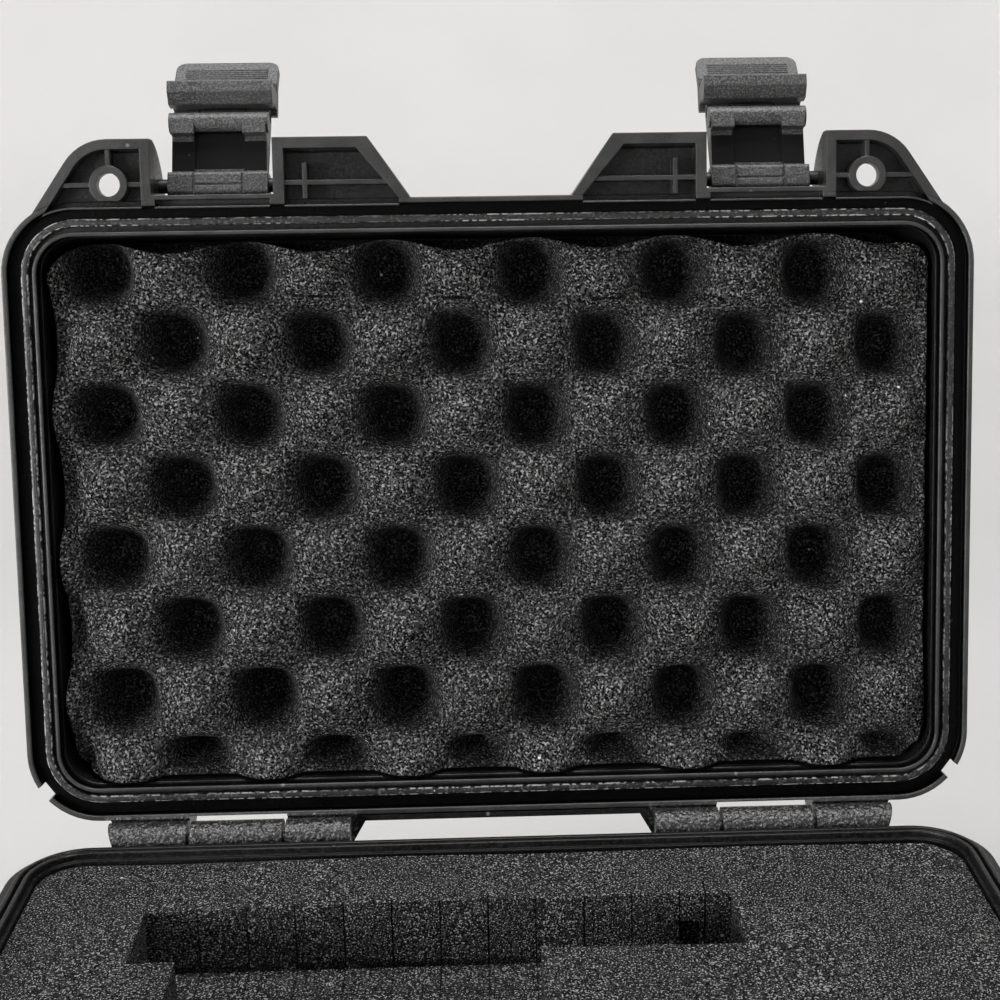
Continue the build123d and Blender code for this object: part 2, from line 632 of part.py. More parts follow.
def ridge(inset, width, height):
    """A rounded ridge that stands on the base's rim and follows it."""
    body = ring(inset, width, RIM_Z - FLANGE_T / 2, RIM_Z + height)
    return fillet(body.faces().sort_by(Axis.Z)[-1].edges(), RIM_EDGE_R)


def tongue():
    """The base's ridge that presses into the lid's gasket."""
    return ridge(GASKET_MID - TONGUE_W / 2, TONGUE_W, SHUT_GAP + GROOVE_DEPTH - GASKET_T - RIDGE_GAP)


def guard_ridge():
    """The base's outer ridge, which shuts into the lid's shallow band."""
    return ridge(GUARD_OUT, GUARD_W, GUARD_H)


def side_ribs(inset, start_z, up, length):
    """Upright ribs on both short sides, between the flange and the wall."""
    ribs = None
    face_x = HALF_W - inset - WALL
    low, high = sorted((start_z, start_z + up * length))
    for step in (-1, 0, 1):
        y = step * SIDE_RIB_PITCH
        rib = box(face_x, HALF_W - inset + SIDE_RIB_OUT, y - SIDE_RIB_T / 2, y + SIDE_RIB_T / 2, low, high)
        ribs = rib if ribs is None else ribs + rib
    return both_sides(ribs)


def nut_notch():
    """Cutter that clears the foams round the valve's nut and its pad on the wall."""
    half = VALVE_NUT_AF / 2 + NUT_ROOM
    back = PAD_BACK_Y + VALVE_NUT_T + NUT_ROOM
    notch = box(-half, half, FRONT_Y, back, VALVE_Z - half, VALVE_Z + half)
    return notch + rod_y(FRONT_Y, PAD_BACK_Y + FOAM_GAP, 0, VALVE_Z, VALVE_PAD_R + NUT_ROOM)


def base_foam_pad():
    """The loose pad on the base's floor."""
    depth = RIM_Z - FLOOR
    shrink = depth * math.tan(math.radians(DRAFT))
    pad = slab(BASE_RIM_W + shrink + FOAM_GAP, FLOOR, FLOOR + PAD_T)
    return pad - nut_notch()


def foam_edges():
    """Left edge and rear edge that the cut-out is measured from."""
    return -HALF_W + CUT_FROM_LEFT, REAR_Y - CUT_FROM_REAR


def pluck_foam():
    """The base's cut foam, with the long slot at the back and the wide tray in front of it."""
    bottom = FLOOR + PAD_T + FOAM_GAP
    top = RIM_Z - FOAM_DROP
    shrink = FOAM_DROP * math.tan(math.radians(DRAFT))
    block = slab(BASE_RIM_W + shrink + FOAM_GAP, bottom, top, DRAFT)
    left, rear = foam_edges()
    floor = top - CUT_DEPTH
    slot = box(left, left + SLOT_L, rear - SLOT_W, rear, floor, top + OVER)
    x0 = left + TRAY_STEP
    y0 = rear - SLOT_W - TRAY_W
    tray = box(x0, x0 + TRAY_L, y0, rear - SLOT_W + OVER, floor, top + OVER)
    return block - slot - tray - nut_notch()


# ================================================================ pressure valve
def valve_body():
    """Valve housing: flange outside, stem through the wall, bore for the knob's spigot."""
    seat = PAD_FACE_Y - VALVE_SEAL_T
    face = seat - VALVE_FLANGE_T
    stem = rod_y(seat, VALVE_END_Y, 0, VALVE_Z, VALVE_STEM_R)
    flange = rod_y(face, seat, 0, VALVE_Z, VALVE_FLANGE_R)
    bore = rod_y(face - OVER, VALVE_END_Y + OVER, 0, VALVE_Z, VALVE_BORE_R)
    rest_y = VALVE_END_Y - MEMBRANE_SINK - MEMBRANE_T
    seat_cut = rod_y(rest_y, VALVE_END_Y + OVER, 0, VALVE_Z, MEMBRANE_R + MEMBRANE_ROOM)
    return stem + flange - bore - seat_cut


def valve_seal():
    """Flat seal ring under the valve's flange."""
    low = PAD_FACE_Y - VALVE_SEAL_T
    disc = rod_y(low, PAD_FACE_Y, 0, VALVE_Z, VALVE_FLANGE_R - VALVE_SEAL_INSET)
    return disc - rod_y(low - OVER, PAD_FACE_Y + OVER, 0, VALVE_Z, VALVE_STEM_R + VALVE_FIT)


def valve_nut():
    """Hexagon nut on the inside of the wall."""
    plane = Plane(origin=(0, PAD_BACK_Y, VALVE_Z), x_dir=(1, 0, 0), z_dir=(0, 1, 0))
    outline = RegularPolygon(VALVE_NUT_AF / 2, 6, major_radius=False)
    nut = extrude(plane * outline, amount=VALVE_NUT_T)
    far = PAD_BACK_Y + VALVE_NUT_T
    return nut - rod_y(PAD_BACK_Y - OVER, far + OVER, 0, VALVE_Z, VALVE_STEM_R + VALVE_FIT)


def valve_membrane():
    """Vent disc at the inner end of the valve's bore."""
    far = VALVE_END_Y - MEMBRANE_SINK
    return rod_y(far - MEMBRANE_T, far, 0, VALVE_Z, MEMBRANE_R)


def valve_knob():
    """Knob with finger flutes and the spigot that turns in the valve's bore."""
    back = PAD_FACE_Y - VALVE_SEAL_T - VALVE_FLANGE_T - KNOB_GAP
    face = back - KNOB_T
    knob = rod_y(face, back, 0, VALVE_Z, KNOB_R)
    knob = chamfer(knob.edges().group_by(Axis.Y)[0], KNOB_BEVEL)
    reach = KNOB_R + KNOB_FLUTE_OUT
    for step in range(KNOB_FLUTES):
        angle = 2 * math.pi * step / KNOB_FLUTES
        x = reach * math.cos(angle)
        z = VALVE_Z + reach * math.sin(angle)
        knob -= rod_y(face - OVER, back - KNOB_FLOOR_T, x, z, KNOB_FLUTE_R)
    half = POINTER_W / 2
    depth = POINTER_DEPTH
    pointer = box(-half, half, face - depth, face + depth, VALVE_Z, VALVE_Z + KNOB_R - POINTER_END)
    spigot_end = back + KNOB_GAP + KNOB_SPIGOT_LEN
    spigot = rod_y(back - KNOB_FLOOR_T / 2, spigot_end, 0, VALVE_Z, VALVE_BORE_R - RUNNING_FIT)
    return knob - pointer + spigot


# ================================================================ handle
def handle_frame():
    """Handle in its hanging pose: two arms on the pins and the core of the grip."""
    y, pin_z = HANDLE_PIN
    low = HANDLE_FOOT + GRIP_H / 2
    arm = side_profile(
        ARM_OUT_X - HANDLE_ARM_W,
        ARM_OUT_X,
        hull_of((y, pin_z, HANDLE_EYE_R), (y, low, HANDLE_ARM_T / 2)),
    )
    core_t = GRIP_T - 2 * (GRIP_WALL + GRIP_ROOM)
    core_h = GRIP_H - 2 * (GRIP_WALL + GRIP_ROOM)
    core = box(-ARM_MID_X, ARM_MID_X, y - core_t / 2, y + core_t / 2, low - core_h / 2, low + core_h / 2)
    frame = both_sides(arm) + core
    x0 = ARM_OUT_X - HANDLE_ARM_W - OVER
    bore = rod(x0, ARM_OUT_X + OVER, HANDLE_PIN, HANDLE_PIN_R + RUNNING_FIT)
    return frame - both_sides(bore)


def handle_grip():
    """Rubber sleeve on the handle's core, with shallow finger waves."""
    y, _ = HANDLE_PIN
    low = HANDLE_FOOT + GRIP_H / 2
    half = ARM_OUT_X - HANDLE_ARM_W - GRIP_END_GAP
    outline = Pos(y, low) * RectangleRounded(GRIP_T, GRIP_H, GRIP_T / 3)
    sleeve = side_profile(-half, half, outline)
    core_t = GRIP_T - 2 * GRIP_WALL
    core_h = GRIP_H - 2 * GRIP_WALL
    x1 = half + OVER
    grip = sleeve - box(-x1, x1, y - core_t / 2, y + core_t / 2, low - core_h / 2, low + core_h / 2)
    pitch = 2 * half / (GRIP_WAVES + 0.4)
    wave_y = y + GRIP_T / 2 + GRIP_WAVE_R - GRIP_WAVE_DEPTH
    for step in range(GRIP_WAVES):
        x = (step - (GRIP_WAVES - 1) / 2) * pitch
        grip -= Pos(x, wave_y, low) * Cylinder(GRIP_WAVE_R, GRIP_H + OVER)
    return grip


def handle_pin():
    """Right handle pin."""
    inner = ARM_OUT_X - HANDLE_ARM_W + HANDLE_PIN_INSET
    outer = BASE_BOX_IN + HANDLE_PIN_GRIP - HANDLE_PIN_END_GAP
    return rod(inner, outer, HANDLE_PIN, HANDLE_PIN_R)


# ================================================================ lid body, drawn shut
def lid_shell():
    """Lid: top, walls, flange and grooved rim, with ears, boxes, latch bays and knuckles."""
    body = slab(LID_INSET, LID_Z, LID_TOP, DRAFT, from_top=False)
    body = fillet(body.faces().sort_by(Axis.Z)[-1].edges(), EDGE_R)
    bumper = ear(LID_Z, 1) + bumper_block(lid_box_outline, LID_Z, 1, WALL, BOX_POCKET_H) + lid_box_ribs()
    shell = body + both_sides(bumper) - slab(0.0, LID_Z - OVER, LID_Z + GROOVE_TOP)
    shell += fenced_rim() + both_sides(bay_bar())
    shell += side_ribs(LID_INSET, LID_Z + FLANGE_T + SIDE_RIB_GAP, 1, LID_H / 2)
    shell += raised_panel()
    shell += stack_marks(LID_TOP - OVER, 0.0, OVER + STACK_T - STACK_LIFT)
    shell -= slab(BAND, LID_Z, LID_TOP - FLOOR, DRAFT, from_top=False)
    shell -= both_sides(knuckle_relief())
    shell += both_sides(lid_hinge()) + hinge_bead()
    inner, _, outer = knuckle_spans()
    for span in (inner, outer):
        shell -= both_sides(barrel_bore(span, RUNNING_FIT))
    shell -= both_sides(eye_hole(LID_Z, 1))
    shell -= both_sides(latch_pin_hole())
    shell -= both_sides(pry_notch())
    return shell


def lid_rim():
    """The lid's flange with its lip, band, gasket groove and inner lip, their edges rounded."""
    rim = slab(0.0, LID_Z, LID_Z + FLANGE_T)
    rim -= ring(LIP_W, BAND_W + GROOVE_W / 2, LID_Z - OVER, LID_Z + BAND_DEPTH)
    rim -= ring(LIP_W + BAND_W, GROOVE_W, LID_Z - OVER, LID_Z + GROOVE_DEPTH)
    rim -= slab(BAND, LID_Z - OVER, LID_Z + FLANGE_T + OVER)
    return fillet(rim.edges().group_by(Axis.Z)[0], RIM_EDGE_R)


def front_recess():
    """What the right ear's pocket, the flange box's pocket and the bay's slot take up at the rim."""
    pockets = bumper_pocket(ear_outline, LID_Z, 1, EAR_WALL, EAR_POCKET_H)
    pockets += bumper_pocket(lid_box_outline, LID_Z, 1, WALL, BOX_POCKET_H)
    outer = FRONT_Y - BAY_BAR_OUT + BAY_BAR_W
    inner = FRONT_Y + FENCE_IN + FENCE_W
    return pockets + box(BAY_IN + WALL / 3, BAY_OUT - WALL / 3, outer, inner, LID_Z, LID_Z + BAY_SLOT_DEPTH)


def fenced_rim():
    """The lid's rim, opened at the front into the pockets, with a thin fence behind them."""
    recess = both_sides(front_recess())
    fence = ring(FENCE_IN, FENCE_W, LID_Z, LID_Z + GROOVE_TOP) & recess
    return lid_rim() - (recess - slab(FENCE_IN, LID_Z - OVER, LID_TOP)) + fence


def bay_bar():
    """Bar across the right latch bay, in front of the rim, and the shelf that joins them."""
    outer = FRONT_Y - BAY_BAR_OUT
    block = box(BAY_IN - OVER, BAY_OUT + OVER, outer, FRONT_Y + LIP_W / 2, LID_Z, LID_Z + FLANGE_T)
    return block - front_recess()


def lid_box_ribs():
    """Thin ribs inside the lid's right flange box."""
    x = BAY_IN - BOX_FRONT_W / 3
    low = LID_Z + RIB_DROP
    high = LID_Z + BUMPER_H
    foot = NOSE_Y + WALL + BOX_RIB_FOOT
    upright = box(x - RIB_T / 2, x + RIB_T / 2, foot, FRONT_Y + LIP_W / 2, low, high)
    inner = BAY_IN - BOX_FRONT_W - BOX_SLANT_W
    cross = box(inner, BAY_IN, EYE_Y - RIB_T / 2, EYE_Y + RIB_T / 2, low, high)
    outline = extrude(Plane.XY.offset(LID_Z) * lid_box_outline(WALL / 2), amount=BUMPER_H)
    profile = side_profile(0, HALF_W, bumper_profile(LID_Z, 1, WALL / 2))
    return (upright + cross) & outline & profile


def raised_panel():
    """The low panel on the lid's top, with the recess a label could take."""
    outline = RectangleRounded(RIM_W - 2 * PANEL_INSET, RIM_D - 2 * PANEL_INSET, PANEL_R)
    panel = extrude(Plane.XY.offset(LID_TOP - OVER) * outline, amount=PANEL_T + OVER)
    inset = PANEL_INSET + PANEL_BORDER
    recess = RectangleRounded(RIM_W - 2 * inset, RIM_D - 2 * inset, PANEL_R - PANEL_BORDER)
    return panel - extrude(Plane.XY.offset(LID_TOP) * recess, amount=PANEL_T + OVER)


def latch_pin_hole():
    """Cutter of the right latch pin's seats in the walls of its bay."""
    half = BAY_W / 2 + LATCH_PIN_GRIP + LATCH_PIN_END_GAP
    return rod(LATCH_X - half, LATCH_X + half, LATCH_PIN, LATCH_PIN_R + PRESS_FIT)


def pry_notch():
    """Cutter of the small notch in the right rear corner of the lid's rim."""
    turn = math.radians(NOTCH_TURN)
    reach = RIM_R - NOTCH_DEPTH + NOTCH_W / 2
    x = HALF_W - RIM_R + reach * math.cos(turn)
    y = REAR_Y - RIM_R + reach * math.sin(turn)
    cutter = Box(NOTCH_W, NOTCH_W, FLANGE_T + 2 * OVER)
    return Pos(x, y, LID_Z + FLANGE_T / 2) * Rot(0, 0, NOTCH_TURN) * cutter


def lid_gasket():
    """Ring of rubber in the bottom of the lid's groove."""
    top = LID_Z + GROOVE_DEPTH
    gasket = ring(GASKET_MID - GASKET_W / 2, GASKET_W, top - GASKET_T, top)
    return fillet(gasket.faces().sort_by(Axis.Z)[0].edges(), GASKET_EDGE_R)


def lid_foam():
    """The lid's egg-crate foam as a plain block up to its peaks."""
    shrink = LID_H * math.tan(math.radians(DRAFT))
    return slab(BAND + shrink + FOAM_GAP, LID_Z + EGG_DROP, LID_TOP - FLOOR)


def latch_pin():
    """Right latch pin across its bay."""
    half = BAY_W / 2 + LATCH_PIN_GRIP
    return rod(LATCH_X - half, LATCH_X + half, LATCH_PIN, LATCH_PIN_R)


# ================================================================ latches, drawn shut on the right
def link_block():
    """Side profile of the link's block round the latch pin."""
    y, z = LATCH_PIN
    corner = LINK_BLOCK_HALF - LINK_BLOCK_R
    return hull_of(*[(y + dy, z + dz, LINK_BLOCK_R) for dy in (-corner, corner) for dz in (-corner, corner)])


def link_arms(x0, x1):
    """The link's two arms, with the recess in the face that meets the case when shut."""
    pin_y, pin_z = LATCH_PIN
    prong = hull_of((pin_y, pin_z, LINK_TUBE_R), (*STOP_BAR, STOP_BAR_R))
    reach = hull_of((pin_y, pin_z, LINK_TUBE_R), (*LEVER_PIN, LEVER_HUB_R))
    arms = None
    for start, end in ((x0 + LINK_ARM_INSET, x0 + LINK_ARM_W), (x1 - LINK_ARM_W, x1 - LINK_ARM_INSET)):
        arm = side_profile(start, end, prong) + side_profile(start, end, reach)
        arms = arm if arms is None else arms + arm
    low = STOP_BAR[1] + STOP_BAR_R + LINK_STRIP_W
    return arms - box(x0, x1, pin_y + LINK_RECESS_IN, FRONT_Y, low, pin_z)


def link_lines(x0, x1):
    """Cutter of the shallow grooves in the block's face: one along the pin and one beside each arm."""
    y, z = LATCH_PIN
    face = y + LINK_BLOCK_HALF
    deep = face - LINK_LINE_DEPTH
    half = LINK_LINE_W / 2
    tall = LINK_BLOCK_HALF + OVER
    left = x0 + LINK_ARM_W
    right = x1 - LINK_ARM_W
    lines = box(left, right, deep, face + OVER, z + LINK_LINE_UP - half, z + LINK_LINE_UP + half)
    for x in (left, right):
        lines += box(x - half, x + half, deep, face + OVER, z - tall, z + tall)
    return lines


def latch_link():
    """Link: a block round the latch pin, two arms to the lever's pin, a web and a cross bar."""
    pin_y, pin_z = LATCH_PIN
    x0 = LATCH_X - LINK_W / 2
    x1 = LATCH_X + LINK_W / 2
    link = link_arms(x0, x1)
    web_face = pin_y + LINK_RECESS_IN - LINK_WEB_SINK
    web_back = web_face - LINK_WEB_T
    link += box(x0 + LINK_WEB_INSET, x1 - LINK_WEB_INSET, web_back, web_face, STOP_BAR[1], pin_z)
    link += rod(LATCH_X - STOP_BAR_W / 2, LATCH_X + STOP_BAR_W / 2, STOP_BAR, STOP_BAR_R)
    link += side_profile(x0, x1, link_block())
    link -= link_lines(x0, x1)
    link -= rod(x0 - OVER, x1 + OVER, LATCH_PIN, LATCH_PIN_R + RUNNING_FIT)
    return link - rod(x0 - OVER, x1 + OVER, LEVER_PIN, LEVER_PIN_R + PRESS_FIT)


def lever_pin():
    """Right lever pin, held in the link's arms."""
    half = LINK_W / 2 - LEVER_PIN_INSET
    return rod(LATCH_X - half, LATCH_X + half, LEVER_PIN, LEVER_PIN_R)


def lever_plate(outer, bend, tip):
    """Plate of the right lever, from its top edge to the flared tab, with the tab's corners rounded."""
    inner = outer + LEVER_PLATE_T
    top = LEVER_PIN[1] - LEVER_TOP_DROP
    outline = polygon(
        (inner, top),
        (outer + LEVER_TOP_BEVEL, top),
        (outer, top - LEVER_TOP_BEVEL_H),
        (outer, bend),
        (outer - LEVER_TAB_FLARE, tip),
        (inner - LEVER_TAB_FLARE, tip - LEVER_TIP_SLOPE),
        (inner, bend - LEVER_TOP_BEVEL_H),
    )
    plate = side_profile(LATCH_X - LEVER_W / 2, LATCH_X + LEVER_W / 2, outline)
    corners = plate.edges().filter_by(Axis.X, reverse=True).sort_by(Axis.Z)[:2]
    return fillet(corners, LEVER_TAB_R)


def hook_bar():
    """Side profile of the lever's hook bar, bevelled on its upper inner edge."""
    y, z = HOOK
    side = HOOK_HALF
    outline = polygon(
        (y - side, z - side),
        (y + side, z - side),
        (y + side, z + HOOK_FACE_UP),
        (y + HOOK_TOP_IN, z + side),
        (y - side, z + side),
    )
    return fillet(outline.vertices(), HOOK_EDGE_R)


def tab_ridges(inner, bend, tip):
    """Fine grip ridges across the face of the right lever's tab."""
    half = LEVER_W / 2 - TAB_RIDGE_INSET
    top = bend - LEVER_TOP_BEVEL_H
    low = tip - LEVER_TIP_SLOPE
    ridges = None
    for step in range(TAB_RIDGES):
        z = tip + TAB_RIDGE_START + step * TAB_RIDGE_PITCH
        lean = LEVER_TAB_FLARE * (top - z) / (top - low)
        bar = rod(LATCH_X - half, LATCH_X + half, (inner - lean, z), TAB_RIDGE_R)
        ridges = bar if ridges is None else ridges + bar
    return ridges


def latch_lever():
    """Lever: outer plate with a flared tab, hub on its pin, and the hook bar under the ledge."""
    y, z = LEVER_PIN
    outer = y - LEVER_HUB_R - LEVER_PLATE_GAP - LEVER_PLATE_T
    root_y = outer + LEVER_PLATE_T / 2
    tip = LID_Z - LEVER_TAB_DOWN
    low = HOOK[1] - HOOK_HALF
    bend = low - LEVER_BEND_DROP
    lever = lever_plate(outer, bend, tip) + tab_ridges(outer + LEVER_PLATE_T, bend, tip)
    half = LINK_W / 2 - LINK_ARM_W - LEVER_ARM_GAP
    lever += rod(LATCH_X - half, LATCH_X + half, LEVER_PIN, LEVER_HUB_R)
    lever += box(LATCH_X - half, LATCH_X + half, root_y, y, z - LEVER_HUB_R, z - LEVER_NECK_DROP)
    half = HOOK_W / 2
    lever += box(LATCH_X - half, LATCH_X + half, root_y, HOOK[0], low, HOOK[1] + HOOK_WEB_UP)
    lever += side_profile(LATCH_X - half, LATCH_X + half, hook_bar())
    half = LEVER_W / 2 + OVER
    return lever - rod(LATCH_X - half, LATCH_X + half, LEVER_PIN, LEVER_PIN_R + RUNNING_FIT)


def hinge_pin():
    """Right hinge pin, held in the base's knuckle."""
    inner, _, outer = knuckle_spans()
    return rod(inner[0] + PIN_END_GAP, outer[1] - PIN_END_GAP, HINGE, HINGE_PIN_R)


# ================================================================ all pieces
def pieces():
    """Every node of the case by name, each in the open rest pose."""
    nodes = {
        "base_shell": base_shell(),
        "base_foam_pad": base_foam_pad(),
        "pluck_foam": pluck_foam(),
        "valve_body": valve_body(),
        "valve_seal": valve_seal(),
        "valve_nut": valve_nut(),
        "valve_membrane": valve_membrane(),
        "valve_knob": valve_knob(),
        "handle_frame": handle_frame(),
        "handle_grip": handle_grip(),
        "lid_shell": opened(lid_shell()),
        "lid_gasket": opened(lid_gasket()),
        "lid_foam": opened(lid_foam()),
    }
    link = latch_opened(latch_link())
    lever = latch_opened(latch_lever())
    link_pin = opened(latch_pin())
    tab_pin = latch_opened(lever_pin())
    for name, side in SIDES.items():
        nodes[f"hinge_pin_{name}"] = on_side(hinge_pin(), side)
        nodes[f"handle_pin_{name}"] = on_side(handle_pin(), side)
        nodes[f"latch_pin_{name}"] = on_side(link_pin, side)
        nodes[f"latch_link_{name}"] = on_side(link, side)
        nodes[f"lever_pin_{name}"] = on_side(tab_pin, side)
        nodes[f"latch_lever_{name}"] = on_side(lever, side)
    return nodes


os.makedirs("parts", exist_ok=True)
for node, part in pieces().items():
    export_step(part, f"parts/{node}.step")
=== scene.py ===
"""A small gasketed hard case, standing open: its foams, its finishes, the studio and the view."""
import json
import math
import random

import bmesh
import bpy
from mathutils import Matrix, Vector
from mathutils.geometry import delaunay_2d_cdt


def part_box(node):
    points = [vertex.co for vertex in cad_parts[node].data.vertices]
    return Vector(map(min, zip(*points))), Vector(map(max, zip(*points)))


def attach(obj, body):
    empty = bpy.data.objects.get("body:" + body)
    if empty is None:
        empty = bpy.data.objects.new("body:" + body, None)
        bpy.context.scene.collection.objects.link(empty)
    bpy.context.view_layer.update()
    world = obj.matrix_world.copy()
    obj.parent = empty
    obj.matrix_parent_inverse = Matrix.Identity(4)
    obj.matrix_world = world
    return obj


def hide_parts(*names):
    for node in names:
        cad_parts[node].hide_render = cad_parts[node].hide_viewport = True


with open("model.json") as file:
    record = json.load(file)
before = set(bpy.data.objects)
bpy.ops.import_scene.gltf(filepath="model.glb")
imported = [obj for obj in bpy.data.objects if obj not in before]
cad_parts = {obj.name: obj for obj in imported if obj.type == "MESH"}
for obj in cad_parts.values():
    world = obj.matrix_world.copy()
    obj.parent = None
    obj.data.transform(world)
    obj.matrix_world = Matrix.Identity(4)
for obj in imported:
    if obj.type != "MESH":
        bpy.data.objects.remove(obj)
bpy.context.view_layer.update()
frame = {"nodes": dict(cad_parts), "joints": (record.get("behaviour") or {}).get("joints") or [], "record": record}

MM = 0.001

# ---------------- places taken from the frame
JOINTS = {joint["name"]: joint for joint in frame["joints"]}
OPENINGS = {place["name"]: place["box_m"] for place in frame["record"]["physics"]["openings"]}
LID_PIVOT = Vector(JOINTS["lid_hinge"]["pos_m"])
LID_OPEN = math.radians(JOINTS["lid_hinge"]["range_deg"][1])

# ---------------- places of the finishes
KNUCKLES_X = (42.0 * MM, 114.0 * MM)     # a hinge's knuckles, from the middle of the case
KNUCKLE_R = (6.2 * MM, 8.0 * MM)         # end of the barrels' heavy grain, and of its fading out
LINK_WEB_HALF = 7.1 * MM                 # middle of a link to the groove beside its block
LINK_ARM_EDGE = 0.1 * MM                 # from that groove's middle to the link's arm
LINK_GROOVE = 0.16 * MM                  # half the width of the groove, which is painted dark as shade
LINK_WEB_DARK = (-15.6 * MM, -5.0 * MM)  # polished part of a link's web, painted dark as shade, up from the swing pin
LINK_ARM_DARK = (-12.9 * MM, -4.3 * MM)  # polished part of its arms, painted dark as shade
LINK_FACE = (1.6 * MM, 1.7 * MM)         # swing pin out to where a link's grained face starts
LID_FROM_PIVOT = 5.0 * MM                # the rim's painted highlight and shade start this far above the hinge
RIM_PROUD = 0.5 * MM                     # and ends this far out from the rim's plane
RIM_LIPS = (0.3 * MM, 0.45 * MM)         # depths in the lid's rim: where the painted highlight on the lips ends
RIM_RIBS = (4.0 * MM, 4.4 * MM)          # where the painted highlight on the ribs in the pockets ends
RIM_GROOVES_TOP = (0.5 * MM, 0.9 * MM)   # where the painted shade in the grooves starts
RIM_GROOVES_END = (3.4 * MM, 3.6 * MM)   # and where it ends
GASKET_EDGE_TOP = (0.08 * MM, 0.2 * MM)  # depths under the gasket's crown: where its edges start
GASKET_EDGE_END = (0.6 * MM, 0.8 * MM)   # and where they end

# ---------------- lid's egg-crate foam
EGG_PITCH_X = 20.2 * MM      # pit to the next peak along a row
EGG_PITCH_Y = 20.6 * MM      # row to row
EGG_PIT_X = 12.2 * MM        # one pit, which the pattern is laid out from
EGG_PIT_Y = -67.3 * MM
EGG_SKEW_X = 0.019           # how far the rows drift sideways, and the columns down the lid
EGG_SKEW_Y = 0.0175
EGG_SADDLE = 6.0 * MM        # peak to saddle
EGG_PIT_WALL = 13.0 * MM     # steep wall of a pit, below the saddles
EGG_PIT_BOTTOM = 0.8         # pattern's value where that wall ends; the saddles are at 0
EGG_DARKEST = 0.75           # and where its painted shade in the pits is darkest; the peaks are at -1
EGG_CORNER = 9.0 * MM
EGG_STEP = 0.75 * MM         # grid of its mesh
EGG_SIDE_LEVELS = (0.8, 0.55, 0.3, 0.0)
EGG_UNEVEN_SIZE = 28 * MM    # unevenness of the foam: its size,
EGG_UNEVEN_PIT = 0.16        # how much it widens and narrows the pits,
EGG_UNEVEN_DEPTH = 1.6 * MM  # and how much it raises and lowers the face
EGG_WAVE_REACH = 14 * MM     # how far in from its edge the foam is drawn in beside its peaks
EGG_WAVES = {                # how far it is drawn in there
    "Left wave": 0.7 * MM,
    "Right wave": 0.2 * MM,
    "Front wave": 1.6 * MM,
    "Rear wave": 0.2 * MM,
}
EGG_PRESSED = {              # where the lid's walls press on it: pits near them are shallower
    "Rear press": 0.6 * MM,
    "Edge fill": 6.5 * MM,
    "Edge depth": 6.0 * MM,
}
LID_FOAM_DROP = 1.0 * MM     # lid's rim to the foam's peaks
FENCE_TO_GASKET = 3.8 * MM   # pockets at the lid's front edge to its gasket
EGG_SLITS = (               # short cuts in three peaks, painted dark as their shade: from, to, height, slope
    (-56.3 * MM, -43.5 * MM, 212.6 * MM, -0.026),
    (-14.6 * MM, -5.9 * MM, 211.6 * MM, -0.047),
    (27.2 * MM, 36.2 * MM, 210.8 * MM, -0.031),
)
EGG_SLIT_HALF = 0.4 * MM     # half their thickness

# ---------------- base's cut foam
CELL = 12.7 * MM             # pitch of the foam's pluck lines
CELL_X = -80.76 * MM         # one of the lines across; the slot's rear wall is one along
CELL_EDGE = (0.008, 0.03)    # half a line's width, and the end of its fading out, in cells
CELL_LINES_UP = (1.5 * MM, 2.5 * MM)   # cut-out's floor up to where the lines fade, and end
CELL_ROOM = 0.6 * MM         # cut-out's walls past the box that it is free for
CELL_SHIFT = (-0.15, 0.45)   # how far a cell's face stands out of line, in millimetres
CELL_LEAN = (-0.2, 0.2)      # how far it leans, in millimetres
CELL_BOW = 0.25 * MM         # how far it bulges
CELL_SLIT_HALF = 0.22 * MM   # half the open slit at a pluck line
CELL_SLIT_DEPTH = (1.2, 2.6)   # how deep that slit runs, in millimetres
CELL_FROM_CORNER = 2.5 * MM  # least distance from a slit to a corner of the cut-out
WALL_STEP = 1.8 * MM         # mesh along the cut-out's walls
CUT_FLOOR_ROOM = 0.7 * MM    # cut-out's floor below the box that it is free for
CUT_FLOOR_PLAY = (-0.12, 0.2)   # unevenness of that floor, in millimetres
FOAM_CORNER = 11.9 * MM
FOAM_SWELL = 1.3 * MM        # how far the foam's top swells up, towards the right
FOAM_SWELL_FROM = 115        # how far left of the middle that starts, in millimetres,
FOAM_SWELL_RUN = 100         # and how far it runs
FOAM_WAVE = 0.22 * MM        # waves of the top: height, and lengths across and along
FOAM_WAVE_X = 17 * MM
FOAM_WAVE_Y = 23 * MM
FOAM_STEP = 2.4 * MM         # mesh of its top,
FOAM_RIM_STEP = 2.0 * MM     # and along its edge
FOAM_POINT_ROOM = 1.1 * MM   # least distance between those two kinds of points
FOAM_EDGE_DROP = 0.7 * MM    # how far the top rounds down at its edge,
FOAM_CUT_DROP = 0.15 * MM    # and at the cut-out's edge
FOAM_SIDE_PULL = 0.35 * MM   # how far its sides are drawn in
FOAM_SIDE_LEVELS = (0.97, 0.85, 0.5, 0.15, 0.0)
CUT_WALL_LEVELS = (0.9, 0.66, 0.33, 0.0)
LATTICE_PLAY = 0.1           # how far loose mesh points lie off their grid, in steps
LIP_PRESS = (1.9 * MM, 3.4 * MM)     # border kept flat for the lid's inner lip, and its slope's end
TORN_HOLE = (46.3 * MM, 52.0 * MM)   # where a piece of the slot's rear wall is missing
TORN_HOLE_H = 11.0 * MM
TORN_DEPTH = 6.0 * MM
SLIT_PAST_HOLE = 0.7 * MM    # torn place to the open slit beside it
SLIT_W = 0.5 * MM
NUT_ROOM = 1.7 * MM          # foam to the valve's nut
WALL_PAD_PAST_NUT = 3.4 * MM   # valve's pad on the wall past the nut's corners
WALL_PAD_ROOM = 0.3 * MM
CUTTER_PAST = 2 * MM         # how far a cutter runs past the foam's front
CUTTER_IN = 1.0 * MM         # how far inside the cut-out, and above its floor, a cutter starts
SLIT_RISE = 60 * MM          # foam's underside to the top of the cutter of the open slit

